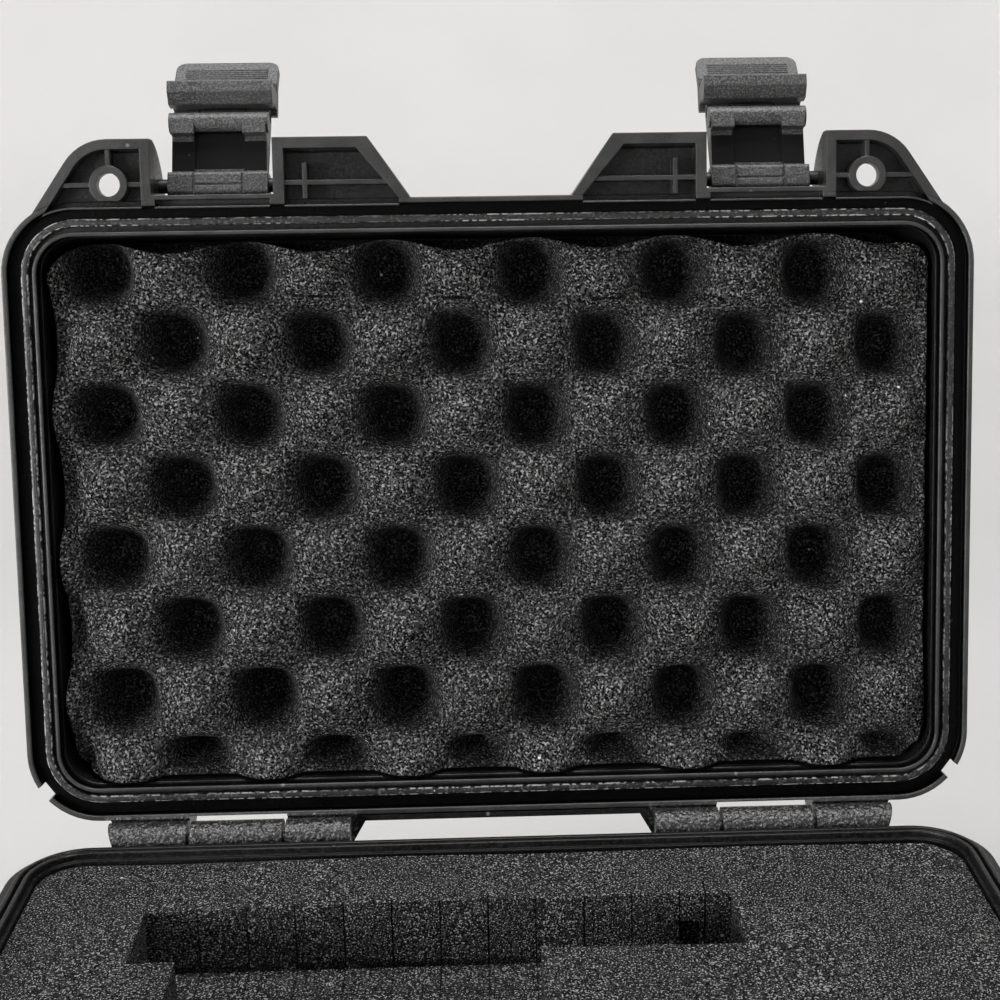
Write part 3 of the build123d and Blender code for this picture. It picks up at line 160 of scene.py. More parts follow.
# ---------------- loose pad on the base's floor
PAD_CORNER = FOAM_CORNER - 1.5 * MM
PAD_STEP = 8 * MM            # mesh of its top,
PAD_RIM_STEP = 3.0 * MM      # and along its edge
PAD_POINT_ROOM = 3 * MM      # least distance between those two kinds of points
PAD_WAVE = 0.25 * MM         # waves of its top: height, and lengths across and along
PAD_WAVE_X = 19 * MM
PAD_WAVE_Y = 27 * MM
PAD_DROP = 0.3 * MM          # its top below the room that it has,
PAD_EDGE_DROP = 0.6 * MM     # and how much further its edge rounds down
PAD_SIDE_PULL = 0.6 * MM     # how far its sides are drawn in,
PAD_FOOT_PULL = 0.5 * MM     # and its underside's edge
PAD_SIDE_LEVELS = (0.93, 0.5, 0.07, 0.0)

# ---------------- seeds of the random draws
CUT_WALL_SEED = 7
FOAM_SEED = 3
CUT_FLOOR_SEED = 5
PAD_SEED = 11

# ---------------- studio, in metres and watts
FLOOR_RINGS = (0.4, 0.9, 1.5)
FLOOR_REACH = 1.6            # middle of the floor to where it starts to curve up
FLOOR_BEND = 0.7             # radius of that curve
BEND_STEPS = 12
WALL_TOP = 1.7
FLOOR_SIDES = 96
SKY_STRENGTH = 0.52
SOFTBOXES = {                # place, aim, size and power
    "front_light": ((-1.45, -1.2, 0.3), (0.0, 0.1, 0.16), (0.7, 0.5), 36.0),
    "top_light": ((0.0, 0.1, 1.45), (0.0, 0.1, 0.1), (0.8, 0.45), 20.0),
}

# ---------------- the view
LENS = 61.2                  # millimetres, for the sensor's width
SENSOR = 36.0
NEAREST = 0.01               # nearest distance that the camera sees, in metres
SHIFT = (-0.0527, -0.0212)
EYE = (-1.37 * MM, -353.22 * MM, 285.53 * MM)
EYE_RIGHT = (0.99916, -0.03970, -0.00975)
EYE_UP = (0.01969, 0.25826, 0.96588)


# ================ numbers in a node tree
class Value:
    """A number in a node tree, worked with like a plain one."""

    def __init__(self, tree, socket):
        self.tree = tree
        self.socket = socket

    def math(self, operation, *others):
        return number(self.tree, operation, self, *others)

    def __add__(self, other):
        return self.math("ADD", other)

    def __sub__(self, other):
        return self.math("SUBTRACT", other)

    def __mul__(self, other):
        return self.math("MULTIPLY", other)

    def __truediv__(self, other):
        return self.math("DIVIDE", other)

    __radd__ = __add__

    def __rsub__(self, other):
        return number(self.tree, "SUBTRACT", other, self)


def plug(tree, place, value):
    """Sets a node's input to a plain value or links it to a computed one."""
    if isinstance(value, Value):
        tree.links.new(value.socket, place)
    elif isinstance(value, bpy.types.NodeSocket):
        tree.links.new(value, place)
    else:
        place.default_value = value


def number(tree, operation, *values):
    """One Math node."""
    node = tree.nodes.new("ShaderNodeMath")
    node.operation = operation
    for place, value in zip(node.inputs, values):
        plug(tree, place, value)
    return Value(tree, node.outputs[0])


def eased(tree, value, low, high):
    """0 below low and 1 above high, with a soft step between."""
    node = tree.nodes.new("ShaderNodeMapRange")
    node.interpolation_type = "SMOOTHSTEP"
    plug(tree, node.inputs["Value"], value)
    plug(tree, node.inputs["From Min"], low)
    plug(tree, node.inputs["From Max"], high)
    return Value(tree, node.outputs["Result"])


# ================ finishes
class Finish:
    """A surface finish made of nodes that read the piece's own coordinates, in metres."""

    def __init__(self, name, roughness=0.5, **settings):
        self.material = bpy.data.materials.new(name)
        self.material.use_nodes = True
        self.tree = self.material.node_tree
        self.shader = self.tree.nodes["Principled BSDF"]
        self.place = self.tree.nodes.new("ShaderNodeTexCoord").outputs["Object"]
        self.shader.inputs["Roughness"].default_value = roughness
        for label, value in settings.items():
            self.shader.inputs[label.replace("_", " ")].default_value = value

    def stretched(self, x=1.0, y=1.0, z=1.0):
        """The piece's coordinates, scaled along each axis."""
        node = self.tree.nodes.new("ShaderNodeMapping")
        plug(self.tree, node.inputs["Vector"], self.place)
        node.inputs["Scale"].default_value = (x, y, z)
        return node.outputs["Vector"]

    def noise(self, size, detail=2.0, place=None):
        """Cloudy pattern whose features are about the given size."""
        node = self.tree.nodes.new("ShaderNodeTexNoise")
        plug(self.tree, node.inputs["Vector"], place or self.place)
        node.inputs["Scale"].default_value = 1.0 / size
        node.inputs["Detail"].default_value = detail
        return Value(self.tree, node.outputs["Fac"])

    def cells(self, size, feature="F1", output="Distance"):
        """Pattern of cells of about the given size."""
        node = self.tree.nodes.new("ShaderNodeTexVoronoi")
        node.feature = feature
        plug(self.tree, node.inputs["Vector"], self.place)
        node.inputs["Scale"].default_value = 1.0 / size
        return Value(self.tree, node.outputs[output])

    def specks(self, size, share):
        """Small round specks in a share of the cells of the given size."""
        near = 1.0 - eased(self.tree, self.cells(size), 0.08, 0.16)
        node = self.tree.nodes.new("ShaderNodeSeparateColor")
        colour = self.cells(size, output="Color")
        plug(self.tree, node.inputs["Color"], colour)
        chosen = Value(self.tree, node.outputs["Red"]).math("LESS_THAN", share)
        return near * chosen

    def axis(self, letter):
        """One coordinate of the piece."""
        node = self.tree.nodes.new("ShaderNodeSeparateXYZ")
        plug(self.tree, node.inputs["Vector"], self.place)
        return Value(self.tree, node.outputs[letter])

    def attribute(self, name):
        """A number that the piece's mesh carries at its points."""
        node = self.tree.nodes.new("ShaderNodeAttribute")
        node.attribute_name = name
        return Value(self.tree, node.outputs["Fac"])

    def eased(self, value, low, high):
        return eased(self.tree, value, low, high)

    def mix(self, share, first, second):
        """Colour between two colours."""
        node = self.tree.nodes.new("ShaderNodeMix")
        node.data_type = "RGBA"
        plug(self.tree, node.inputs["Factor"], share)
        for label, colour in (("A", first), ("B", second)):
            place = [s for s in node.inputs if s.name == label and s.type == "RGBA"][0]
            plug(self.tree, place, grey(colour) if isinstance(colour, float) else colour)
        return Value(self.tree, [s for s in node.outputs if s.type == "RGBA"][0])

    def colour(self, value):
        plug(self.tree, self.shader.inputs["Base Color"], value)

    def roughness(self, value):
        plug(self.tree, self.shader.inputs["Roughness"], value)

    def relief(self, *layers, edge=0.0):
        """Bump layers, each a height pattern and its depth in metres, over rounded edges."""
        normal = None
        if edge:
            node = self.tree.nodes.new("ShaderNodeBevel")
            node.samples = 4
            node.inputs["Radius"].default_value = edge
            normal = node.outputs["Normal"]
        for height, depth in layers:
            node = self.tree.nodes.new("ShaderNodeBump")
            node.inputs["Distance"].default_value = depth
            plug(self.tree, node.inputs["Height"], height)
            if normal is not None:
                plug(self.tree, node.inputs["Normal"], normal)
            normal = node.outputs["Normal"]
        plug(self.tree, self.shader.inputs["Normal"], normal)


def grey(level, warmth=0.0):
    """A near-neutral linear colour."""
    return (level * (1 + warmth), level, level * (1 - warmth), 1.0)


def moulded_plastic(name, tone=0.005, gloss=0.34, grain=0.8 * MM, depth=0.06 * MM, shine=0.25,
                    polished_and_shaded=None, coarse=None, rim=None):
    """Black moulded polypropylene with a fine spark-eroded grain, faint scuffs and a little dust.

    The mask for polished parts gives, from the finish, where the surface is polished and painted dark as shade,
    and coarse where its grain is heavy and carries painted glints; rim gives where a lip or rib is painted pale as
    a highlight and where a groove is painted near black as shade.
    """
    finish = Finish(name, gloss, Specular_IOR_Level=shine)
    patches = finish.noise(22 * MM, 3.0)
    fine = finish.noise(grain, 2.0)
    pits = finish.cells(grain * 1.5, "SMOOTH_F1")
    streaks = finish.noise(3.0 * MM, 5.0, finish.stretched(1.0, 6.0, 6.0))
    scuffs = finish.eased(streaks, 0.66, 0.8) * finish.eased(finish.noise(35 * MM), 0.5, 0.7)
    dust = finish.specks(4.5 * MM, 0.04) * 0.4 + finish.specks(1.7 * MM, 0.015) * 0.3
    body = finish.mix(finish.eased(patches, 0.3, 0.7), tone * 0.75, tone * 1.25)
    grains = finish.eased(fine, 0.45, 0.65)
    shade = finish.mix(grains, body, tone * 3.0)
    height = fine + pits
    sheen = 1.0
    if coarse:
        heavy = coarse(finish)
        glints = finish.eased(finish.noise(grain * 0.8, 0.0), 0.6, 0.7)
        shade = finish.mix(heavy * grains, shade, tone * 4.0)
        # painted glints over the knuckles' heavier grain
        shade = finish.mix(heavy * glints, shade, tone * 20.0)
        height = height * (1.0 + heavy * 5.0)
        sheen = 1.0 + heavy
    shade = finish.mix(scuffs * 0.3, shade, 0.07)
    if rim:
        # painted highlight on the lips and ribs, and painted shade, near black, in the grooves
        lip, hollow_shade = rim(finish)
        # patches where the painted highlight on the lips is brighter
        worn = finish.eased(finish.noise(9 * MM, 3.0), 0.35, 0.65)
        shade = finish.mix(lip, shade, tone * 4.0)
        shade = finish.mix(lip * worn * 0.6, shade, tone * 8.0)
        shade = finish.mix(hollow_shade, shade, tone * 0.2)
        sheen = sheen + lip * 0.6 - hollow_shade * 0.75
    if polished_and_shaded:
        rough = 1.0 - polished_and_shaded(finish)
        # painted shade, near black, in the links' polished recess and grooves
        shade = finish.mix(rough, tone * 0.15, shade)
        height = height * rough
        sheen = rough * 0.7 + 0.3
    if rim or polished_and_shaded:
        plug(finish.tree, finish.shader.inputs["Specular IOR Level"], sheen * shine)
    finish.colour(finish.mix(dust, shade, 0.3))
    finish.roughness(gloss + (fine - 0.5) * 0.3 + (patches - 0.5) * 0.12 + scuffs * 0.12)
    finish.relief((patches, 0.10 * MM), (height, depth), edge=0.5 * MM)
    return finish.material


def shut_place(finish):
    """Y and Z of a place on the lid when the lid is shut, from where it is when the lid is open."""
    y = finish.axis("Y") - LID_PIVOT.y
    z = finish.axis("Z") - LID_PIVOT.z
    turned_y = y * math.cos(LID_OPEN) - z * math.sin(LID_OPEN) + LID_PIVOT.y
    turned_z = y * math.sin(LID_OPEN) + z * math.cos(LID_OPEN) + LID_PIVOT.z
    return turned_y, turned_z


def lid_rim(finish):
    """1 on the lips and ribs at the lid's rim, where a highlight is painted, and 1 in the grooves between the
    lips, where shade is painted.
    """
    plane = corners_in("lid_foam", lid_shut())[0].z - LID_FOAM_DROP
    fence = corners_in("lid_gasket", lid_shut())[0].y - FENCE_TO_GASKET
    y, z = shut_place(finish)
    deep = z - plane
    above = finish.axis("Z").math("GREATER_THAN", LID_PIVOT.z + LID_FROM_PIVOT)
    lid = above * deep.math("GREATER_THAN", -RIM_PROUD)
    pocket = lid * y.math("LESS_THAN", fence)
    # painted highlight on the lips and ribs
    lip = lid * (1.0 - finish.eased(deep, *RIM_LIPS))
    ribs = pocket * (1.0 - finish.eased(deep, *RIM_RIBS)) * 0.8
    # painted shade in the grooves
    hollow_shade = finish.eased(deep, *RIM_GROOVES_TOP) * (1.0 - finish.eased(deep, *RIM_GROOVES_END))
    return lip.math("MAXIMUM", ribs), (lid - pocket) * hollow_shade


def knuckle_grain(finish):
    """1 at the hinge's knuckles, whose grain is heavier and carries painted glints, and 0 elsewhere."""
    y = finish.axis("Y") - LID_PIVOT.y
    z = finish.axis("Z") - LID_PIVOT.z
    side = finish.axis("X").math("ABSOLUTE")
    along = side.math("GREATER_THAN", KNUCKLES_X[0]) * side.math("LESS_THAN", KNUCKLES_X[1])
    return along * (1.0 - finish.eased((y * y + z * z).math("SQRT"), *KNUCKLE_R))


def link_recess(finish):
    """1 in the polished recess of the latches' links and in the grooves beside their blocks, all painted dark as
    shade.
    """
    pin = JOINTS["latch_swing_right"]["pos_m"]
    turn = LID_OPEN + math.radians(JOINTS["latch_swing_right"]["range_deg"][1])
    y = finish.axis("Y") - pin[1]
    z = finish.axis("Z") - pin[2]
    out = y * math.cos(turn) - z * math.sin(turn)
    up = y * math.sin(turn) + z * math.cos(turn)
    side = (finish.axis("X").math("ABSOLUTE") - abs(pin[0])).math("ABSOLUTE")
    arm = finish.eased(side, LINK_WEB_HALF, LINK_WEB_HALF + LINK_ARM_EDGE)
    low = arm * (LINK_ARM_DARK[0] - LINK_WEB_DARK[0]) + LINK_WEB_DARK[0]
    high = arm * (LINK_ARM_DARK[1] - LINK_WEB_DARK[1]) + LINK_WEB_DARK[1]
    hollow_shade = up.math("GREATER_THAN", low) * up.math("LESS_THAN", high)
    # groove beside the block, painted dark as shade
    groove = (side - LINK_WEB_HALF).math("ABSOLUTE").math("LESS_THAN", LINK_GROOVE)
    groove = groove * up.math("GREATER_THAN", LINK_WEB_DARK[1])
    return hollow_shade.math("MAXIMUM", groove) * (1.0 - finish.eased(out, *LINK_FACE))


def open_cell_foam(name, tone=0.042, pore=0.65 * MM, glint=7.0, lines=False, slits=()):
    """Charcoal open-cell foam: bright cell walls round dark pores, with painted shade darker down in its pits.

    glint says how much paler than the foam its brightest cell walls are; lines adds the pluck lines of the base's
    foam as painted shade, and slits adds the short cuts in the lid's as painted shade.
    """
    finish = Finish(name, 0.9, Specular_IOR_Level=0.05)
    pores = finish.noise(pore, 1.0)
    coarse = finish.noise(1.6 * MM, 2.0)
    walls = finish.cells(0.9 * MM, "DISTANCE_TO_EDGE")
    own_way = finish.stretched(1.07, 0.93, 1.11)
    glints = finish.eased(finish.noise(pore * 1.15, 0.0, own_way), 0.6, 0.72)
    patches = finish.eased(finish.noise(9.0 * MM, 3.0), 0.3, 0.7)
    speckle = finish.eased(pores, 0.44, 0.56) * (0.35 + finish.eased(coarse, 0.38, 0.62) * 0.65)
    depth = finish.attribute("foam_depth")
    body = finish.mix(speckle, tone * 0.04, tone * 2.2)
    body = finish.mix(glints * 0.8, body, tone * glint)
    body = finish.mix(patches * 0.25, body, tone * 0.6)
    # painted shade, darker down in the egg crate's pits
    shade = finish.mix(depth * 0.62, body, tone * 0.1)
    if lines:
        # painted shade in the pluck lines' cuts
        shade = finish.mix(pluck_lines(finish) * 0.75, shade, tone * 0.1)
    # painted shade in the short slits cut in three peaks
    for left, right, height, slope in slits:
        x = finish.axis("X")
        off = finish.axis("Z") - height - (x - left) * slope
        near = off.math("ABSOLUTE").math("LESS_THAN", EGG_SLIT_HALF)
        cut = near * x.math("GREATER_THAN", left) * x.math("LESS_THAN", right)
        shade = finish.mix(cut * 0.85, shade, tone * 0.03)
    finish.colour(finish.mix(finish.specks(3.6 * MM, 0.012), shade, 0.6))
    finish.relief((patches, 0.3 * MM), (walls, 0.3 * MM), (pores, 0.8 * MM))
    return finish.material


def pluck_lines(finish):
    """1 along the pluck lines on the floor of the cut-out, where their cuts' shade is painted, and 0 elsewhere."""
    near = None
    for letter, start in (("X", CELL_X), ("Y", cut_out()["slot"][1][1])):
        part = ((finish.axis(letter) - start) / CELL).math("FRACT")
        edge = part.math("MINIMUM", 1.0 - part)
        line = 1.0 - finish.eased(edge, *CELL_EDGE)
        near = line if near is None else near.math("MAXIMUM", line)
    floor = cut_out()["floor"]
    low = 1.0 - finish.eased(finish.axis("Z"), *(floor + up for up in CELL_LINES_UP))
    return near * low


def rubber(name, tone=0.010, gloss=0.5, edges=None):
    """Black rubber; where edges says, a seal carries pale beads, partly a film of silicone grease and partly
    painted highlight, with painted glints over it.
    """
    finish = Finish(name, gloss, Specular_IOR_Level=0.4)
    beads = finish.noise(1.3 * MM, 1.0)
    patches = finish.noise(6.0 * MM, 2.0)
    shade = finish.mix(finish.eased(patches, 0.3, 0.7), tone * 0.7, tone * 1.3)
    if edges:
        side = edges(finish)
        stretch = finish.eased(finish.noise(45 * MM, 2.0), 0.36, 0.52)
        # pale beads along the edges: partly a film of silicone grease, partly painted highlight
        film = finish.eased(beads, 0.46, 0.56) * side
        shade = finish.mix(film * (0.18 + stretch * 0.8), shade, 0.55)
        # painted glints
        shade = finish.mix(finish.eased(finish.noise(0.7 * MM, 0.0), 0.6, 0.7) * 0.12, shade, 0.5)
        beads = beads * (1.0 + side * 2.0)
    finish.colour(finish.mix(finish.specks(2.2 * MM, 0.05), shade, 0.45))
    finish.roughness(gloss + (patches - 0.5) * 0.2)
    finish.relief((patches, 0.08 * MM), (beads, 0.08 * MM))
    return finish.material


def gasket_edges(finish):
    """1 along both edges of the gasket, where it turns away from its crown and carries its grease and painted
    highlight.
    """
    crown = corners_in("lid_gasket", lid_shut())[0].z
    deep = shut_place(finish)[1] - crown
    return finish.eased(deep, *GASKET_EDGE_TOP) * (1.0 - finish.eased(deep, *GASKET_EDGE_END))


def blackened_steel(name):
    """Black-finished steel rod with fine lines along it."""
    finish = Finish(name, 0.45, Metallic=1.0)
    lines = finish.noise(1.2 * MM, 3.0, finish.stretched(0.08, 4.0, 4.0))
    dull = finish.noise(2.5 * MM, 3.0)
    finish.colour(finish.mix(finish.eased(dull, 0.35, 0.7), 0.03, 0.06))
    finish.roughness(0.36 + lines * 0.18 + dull * 0.08)
    finish.relief((lines, 0.01 * MM))
    return finish.material


def vent_film(name):
    """White expanded film with a fine felted grain."""
    finish = Finish(name, 0.85)
    fibres = finish.noise(0.3 * MM, 4.0)
    finish.colour(finish.mix(finish.eased(fibres, 0.3, 0.7), 0.55, 0.8))
    finish.relief((fibres, 0.05 * MM))
    return finish.material


def studio_paper(name):
    """Pale matt surface with very faint mottling, a little deeper in tone on the lit floor."""
    finish = Finish(name, 0.9, Specular_IOR_Level=0.2)
    clouds = finish.eased(finish.noise(0.35, 2.0), 0.3, 0.7)
    reach = (finish.axis("X") * finish.axis("X") + finish.axis("Y") * finish.axis("Y")).math("SQRT")
    floor = finish.mix(clouds, grey(0.47, 0.008), grey(0.50, 0.012))
    wall = finish.mix(clouds, grey(0.77, 0.008), grey(0.81, 0.012))
    finish.colour(finish.mix(finish.eased(reach, 0.5, 1.9), floor, wall))
    finish.relief((finish.noise(1.5 * MM, 2.0), 0.03 * MM))
    return finish.material


def finishes():
    """The material of every slot in the record."""
    return {
        "shell": moulded_plastic("shell_plastic", coarse=knuckle_grain, rim=lid_rim),
        "latch": moulded_plastic(
            "latch_plastic", 0.029, 0.44, 0.5 * MM, 0.12 * MM, 0.4, polished_and_shaded=link_recess
        ),
        "handle": moulded_plastic("handle_plastic", 0.010, 0.48),
        "grip": rubber("grip_rubber", 0.018, 0.62),
        "base_foam": open_cell_foam("base_foam", 0.029, 0.45 * MM, 13.0, lines=True),
        "pad_foam": open_cell_foam("pad_foam"),
        "lid_foam": open_cell_foam("lid_foam", slits=EGG_SLITS),
        "gasket": rubber("gasket_rubber", 0.014, 0.42, gasket_edges),
        "valve": moulded_plastic("valve_plastic", 0.012, 0.36, 0.3 * MM, 0.02 * MM, 0.35),
        "knob": moulded_plastic("knob_plastic", 0.018, 0.38, 0.3 * MM, 0.02 * MM, 0.35),
        "seal": rubber("seal_rubber"),
        "membrane": vent_film("vent_film"),
        "pin": blackened_steel("pin_steel"),
    }


def dress_frame(materials):
    """Gives every CAD node the finish of its slot."""
    for part in frame["record"]["subparts"]:
        for slot in frame["nodes"][part["node"]].material_slots:
            slot.material = materials[part["material_slot"]]


# ================ shared mesh tools
def piece_from(name, mesh, material):
    """An object of its own for a finished mesh, wearing one material."""
    piece = bpy.data.objects.new(name, mesh)
    bpy.context.scene.collection.objects.link(piece)
    mesh.materials.clear()
    mesh.materials.append(material)
    return piece


def baked(piece):
    """Puts the result of a piece's modifiers into its mesh and removes them."""
    evaluated = piece.evaluated_get(bpy.context.evaluated_depsgraph_get())
    mesh = bpy.data.meshes.new_from_object(evaluated)
    piece.modifiers.clear()
    piece.data = mesh


def lid_shut():
    """Matrix that turns the open lid's points back to the shut place."""
    there = Matrix.Translation(LID_PIVOT)
    return there @ Matrix.Rotation(LID_OPEN, 4, "X") @ there.inverted()


def corners_in(node, matrix):
    """Lowest and highest corners of a CAD node's points after a change of frame."""
    points = [matrix @ vertex.co for vertex in frame["nodes"][node].data.vertices]
    low = Vector(min(p[i] for p in points) for i in range(3))
    high = Vector(max(p[i] for p in points) for i in range(3))
    return low, high


def rounded_outline(low, high, radius, step):
    """Points round a rectangle with rounded corners, anticlockwise, about a step apart."""
    points = []
    turns = max(4, round(radius * math.pi / 2 / step))
    centres = (
        (high[0] - radius, high[1] - radius, 0),
        (low[0] + radius, high[1] - radius, 90),
        (low[0] + radius, low[1] + radius, 180),
        (high[0] - radius, low[1] + radius, 270),
    )
    arcs = []
    for x, y, start in centres:
        angles = [math.radians(start + 90 * k / turns) for k in range(turns + 1)]
        arcs.append([(x + radius * math.cos(a), y + radius * math.sin(a)) for a in angles])
    for arc, following in zip(arcs, arcs[1:] + arcs[:1]):
        points += arc
        (x0, y0), (x1, y1) = arc[-1], following[0]
        count = max(1, round(math.hypot(x1 - x0, y1 - y0) / step))
        for k in range(1, count):
            points.append((x0 + (x1 - x0) * k / count, y0 + (y1 - y0) * k / count))
    return points


def inside(point, outline):
    """Whether a point lies inside a closed outline."""
    x, y = point
    within = False
    for (x0, y0), (x1, y1) in zip(outline, outline[1:] + outline[:1]):
        if (y0 > y) != (y1 > y) and x < (x1 - x0) * (y - y0) / (y1 - y0) + x0:
            within = not within
    return within


def sheet_faces(outlines, loose, keep):
    """Points and triangles over outlines and loose points; keep says which triangles stay.

    The outlines' points come first.
    """
    points = [Vector(p) for outline in outlines for p in outline] + [Vector(p) for p in loose]
    edges = []
    start = 0
    for outline in outlines:
        count = len(outline)
        edges += [(start + k, start + (k + 1) % count) for k in range(count)]
        start += count
    found, _, faces, _, _, _ = delaunay_2d_cdt(points, edges, [], 0, 1e-7)
    kept = []
    for face in faces:
        middle = sum((found[k] for k in face), Vector((0, 0))) / len(face)
        if keep((middle.x, middle.y)):
            kept.append(face)
    return found, kept


def add_rings(points, faces, ring, levels, place, flip=False):
    """Adds a ring of points for each level and the walls between them; returns the last ring.

    place gives a new point from the first ring's point and the level; flip turns the walls round.
    """
    top = ring
    for level in levels:
        lower = list(range(len(points), len(points) + len(top)))
        points += [place(points[k], level) for k in top]
        for n in range(len(top)):
            following = (n + 1) % len(top)
            quad = (lower[n], lower[following], ring[following], ring[n])
            faces.append(quad[::-1] if flip else quad)
        ring = lower
    return ring


def drawn_in(point, pull, z):
    """A point at another height, moved towards the middle of the case."""
    x, y = point[:2]
    size = math.hypot(x, y)
    return (x - pull * x / size, y - pull * y / size, z)


# ================ lid's egg-crate foam
def egg_crate_tree(material):
    """Node tree that shapes a gridded block into the egg-crate foam, in the lid's shut place."""
    tree = bpy.data.node_groups.new("egg_crate", "GeometryNodeTree")
    tree.interface.new_socket("Block", in_out="INPUT", socket_type="NodeSocketGeometry")
    sizes = {}
    named = ("Half width", "Half depth", "Peak height", "Corner", "Saddle", "Pit wall")
    for label in (*named, *EGG_WAVES, *EGG_PRESSED):
        item = tree.interface.new_socket(label, in_out="INPUT", socket_type="NodeSocketFloat")
        sizes[label] = item.identifier
    tree.interface.new_socket("Foam", in_out="OUTPUT", socket_type="NodeSocketGeometry")
    given = tree.nodes.new("NodeGroupInput")
    read = {label: Value(tree, given.outputs[label]) for label in sizes}
    place = tree.nodes.new("GeometryNodeInputPosition")
    split = tree.nodes.new("ShaderNodeSeparateXYZ")
    tree.links.new(place.outputs[0], split.inputs[0])
    x, y, z = (Value(tree, split.outputs[k]) for k in range(3))
    x, y = rounded_corner(read, x, y)
    u = x - y * EGG_SKEW_X
    v = y - x * EGG_SKEW_Y
    across = ((u - EGG_PIT_X) * (math.pi / EGG_PITCH_X)).math("COSINE")
    along = ((v - EGG_PIT_Y) * (math.pi / EGG_PITCH_Y)).math("COSINE")
    wander = tree.nodes.new("ShaderNodeTexNoise")
    wander.inputs["Scale"].default_value = 1.0 / EGG_UNEVEN_SIZE
    wander.inputs["Detail"].default_value = 2.0
    tree.links.new(place.outputs[0], wander.inputs["Vector"])
    unevenness = Value(tree, wander.outputs["Fac"]) - 0.5
    pit = across * along + unevenness * EGG_UNEVEN_PIT
    depth = (pit + 1.0) * read["Saddle"] + eased(tree, pit, 0.0, EGG_PIT_BOTTOM) * read["Pit wall"]
    depth = depth + unevenness * EGG_UNEVEN_DEPTH
    shallow = depth.math("MINIMUM", read["Edge depth"])
    from_rear = read["Half depth"] - y
    inset = from_rear.math("MINIMUM", read["Half width"] - x.math("ABSOLUTE"))
    depth = shallow + (depth - shallow) * eased(tree, inset, 0.0, read["Edge fill"])
    top = eased(tree, z, 0.45, 0.55)
    rise = read["Peak height"] - depth.math("MAXIMUM", 0.0)
    height = z * rise
    pressed = (1.0 - eased(tree, from_rear, 0.0, read["Edge fill"])) * top * read["Rear press"]
    x, y = waved_edge(tree, read, x, y, across, along, top)
    y = y + pressed
    joined = tree.nodes.new("ShaderNodeCombineXYZ")
    for socket, value in zip(joined.inputs, (x, y, height)):
        plug(tree, socket, value)
    moved = tree.nodes.new("GeometryNodeSetPosition")
    tree.links.new(given.outputs["Block"], moved.inputs["Geometry"])
    tree.links.new(joined.outputs[0], moved.inputs["Position"])
    kept = tree.nodes.new("GeometryNodeStoreNamedAttribute")
    kept.data_type = "FLOAT"
    kept.domain = "POINT"
    kept.inputs["Name"].default_value = "foam_depth"
    tree.links.new(moved.outputs[0], kept.inputs["Geometry"])
    # painted shade, growing from the peaks down to the pits, kept for the foam's colour
    hollow_shade = eased(tree, pit, -1.0, EGG_DARKEST)
    plug(tree, kept.inputs["Value"], hollow_shade * hollow_shade)
    real = tree.nodes.new("GeometryNodeRealizeInstances")
    tree.links.new(kept.outputs[0], real.inputs[0])
    worn = tree.nodes.new("GeometryNodeSetMaterial")
    worn.inputs["Material"].default_value = material
    tree.links.new(real.outputs[0], worn.inputs["Geometry"])
    tree.links.new(worn.outputs[0], tree.nodes.new("NodeGroupOutput").inputs[0])
    return tree, sizes


def rounded_corner(read, x, y):
    """Draws the square corners of the grid in to the foam's rounded ones."""
    over = []
    for value, half in ((x, read["Half width"]), (y, read["Half depth"])):
        beyond = (value.math("ABSOLUTE") - (half - read["Corner"])).math("MAXIMUM", 0.0)
        over.append(beyond / read["Corner"])
    drawn = []
    for value, own, other in ((x, over[0], over[1]), (y, over[1], over[0])):
        kept = (1.0 - other * other * 0.5).math("SQRT")
        pulled = own * (1.0 - kept) * read["Corner"]
        drawn.append(value - pulled * value.math("SIGN"))
    return drawn


def waved_edge(tree, read, x, y, across, along, top):
    """Pulls the foam's cut edge in beside its peaks, where the sheet sprang back after cutting."""
    pulled = []
    sides = (
        (x, read["Half width"], along, read["Left wave"], read["Right wave"]),
        (y, read["Half depth"], across, read["Front wave"], read["Rear wave"]),
    )
    for value, half, wave, low, high in sides:
        inset = half - value.math("ABSOLUTE")
        near = 1.0 - eased(tree, inset, 0.0, EGG_WAVE_REACH)
        size = low + (high - low) * value.math("GREATER_THAN", 0.0)
        pulled.append(value - near * (1.0 - wave) * top * size * value.math("SIGN"))
    return pulled


def gridded_block(low, high, step):
    """Closed block, gridded on top, whose z runs from 0 at the back to 1 at the peaks."""
    wide = max(2, round((high.x - low.x) / step))
    deep = max(2, round((high.y - low.y) / step))
    xs = [low.x + (high.x - low.x) * i / wide for i in range(wide + 1)]
    ys = [low.y + (high.y - low.y) * j / deep for j in range(deep + 1)]
    points = [(x, y, 1.0) for y in ys for x in xs]
    row = wide + 1
    faces = []
    for j in range(deep):
        for i in range(wide):
            k = j * row + i
            faces.append((k, k + 1, k + 1 + row, k + row))
    rim = list(range(row))
    rim += [j * row + wide for j in range(1, deep + 1)]
    rim += [deep * row + i for i in range(wide - 1, -1, -1)]
    rim += [j * row for j in range(deep - 1, 0, -1)]
    foot = add_rings(points, faces, rim, EGG_SIDE_LEVELS, lambda p, level: (p[0], p[1], level))
    faces.append(tuple(reversed(foot)))
    mesh = bpy.data.meshes.new("gridded_block")
    mesh.from_pydata(points, [], faces)
    return mesh


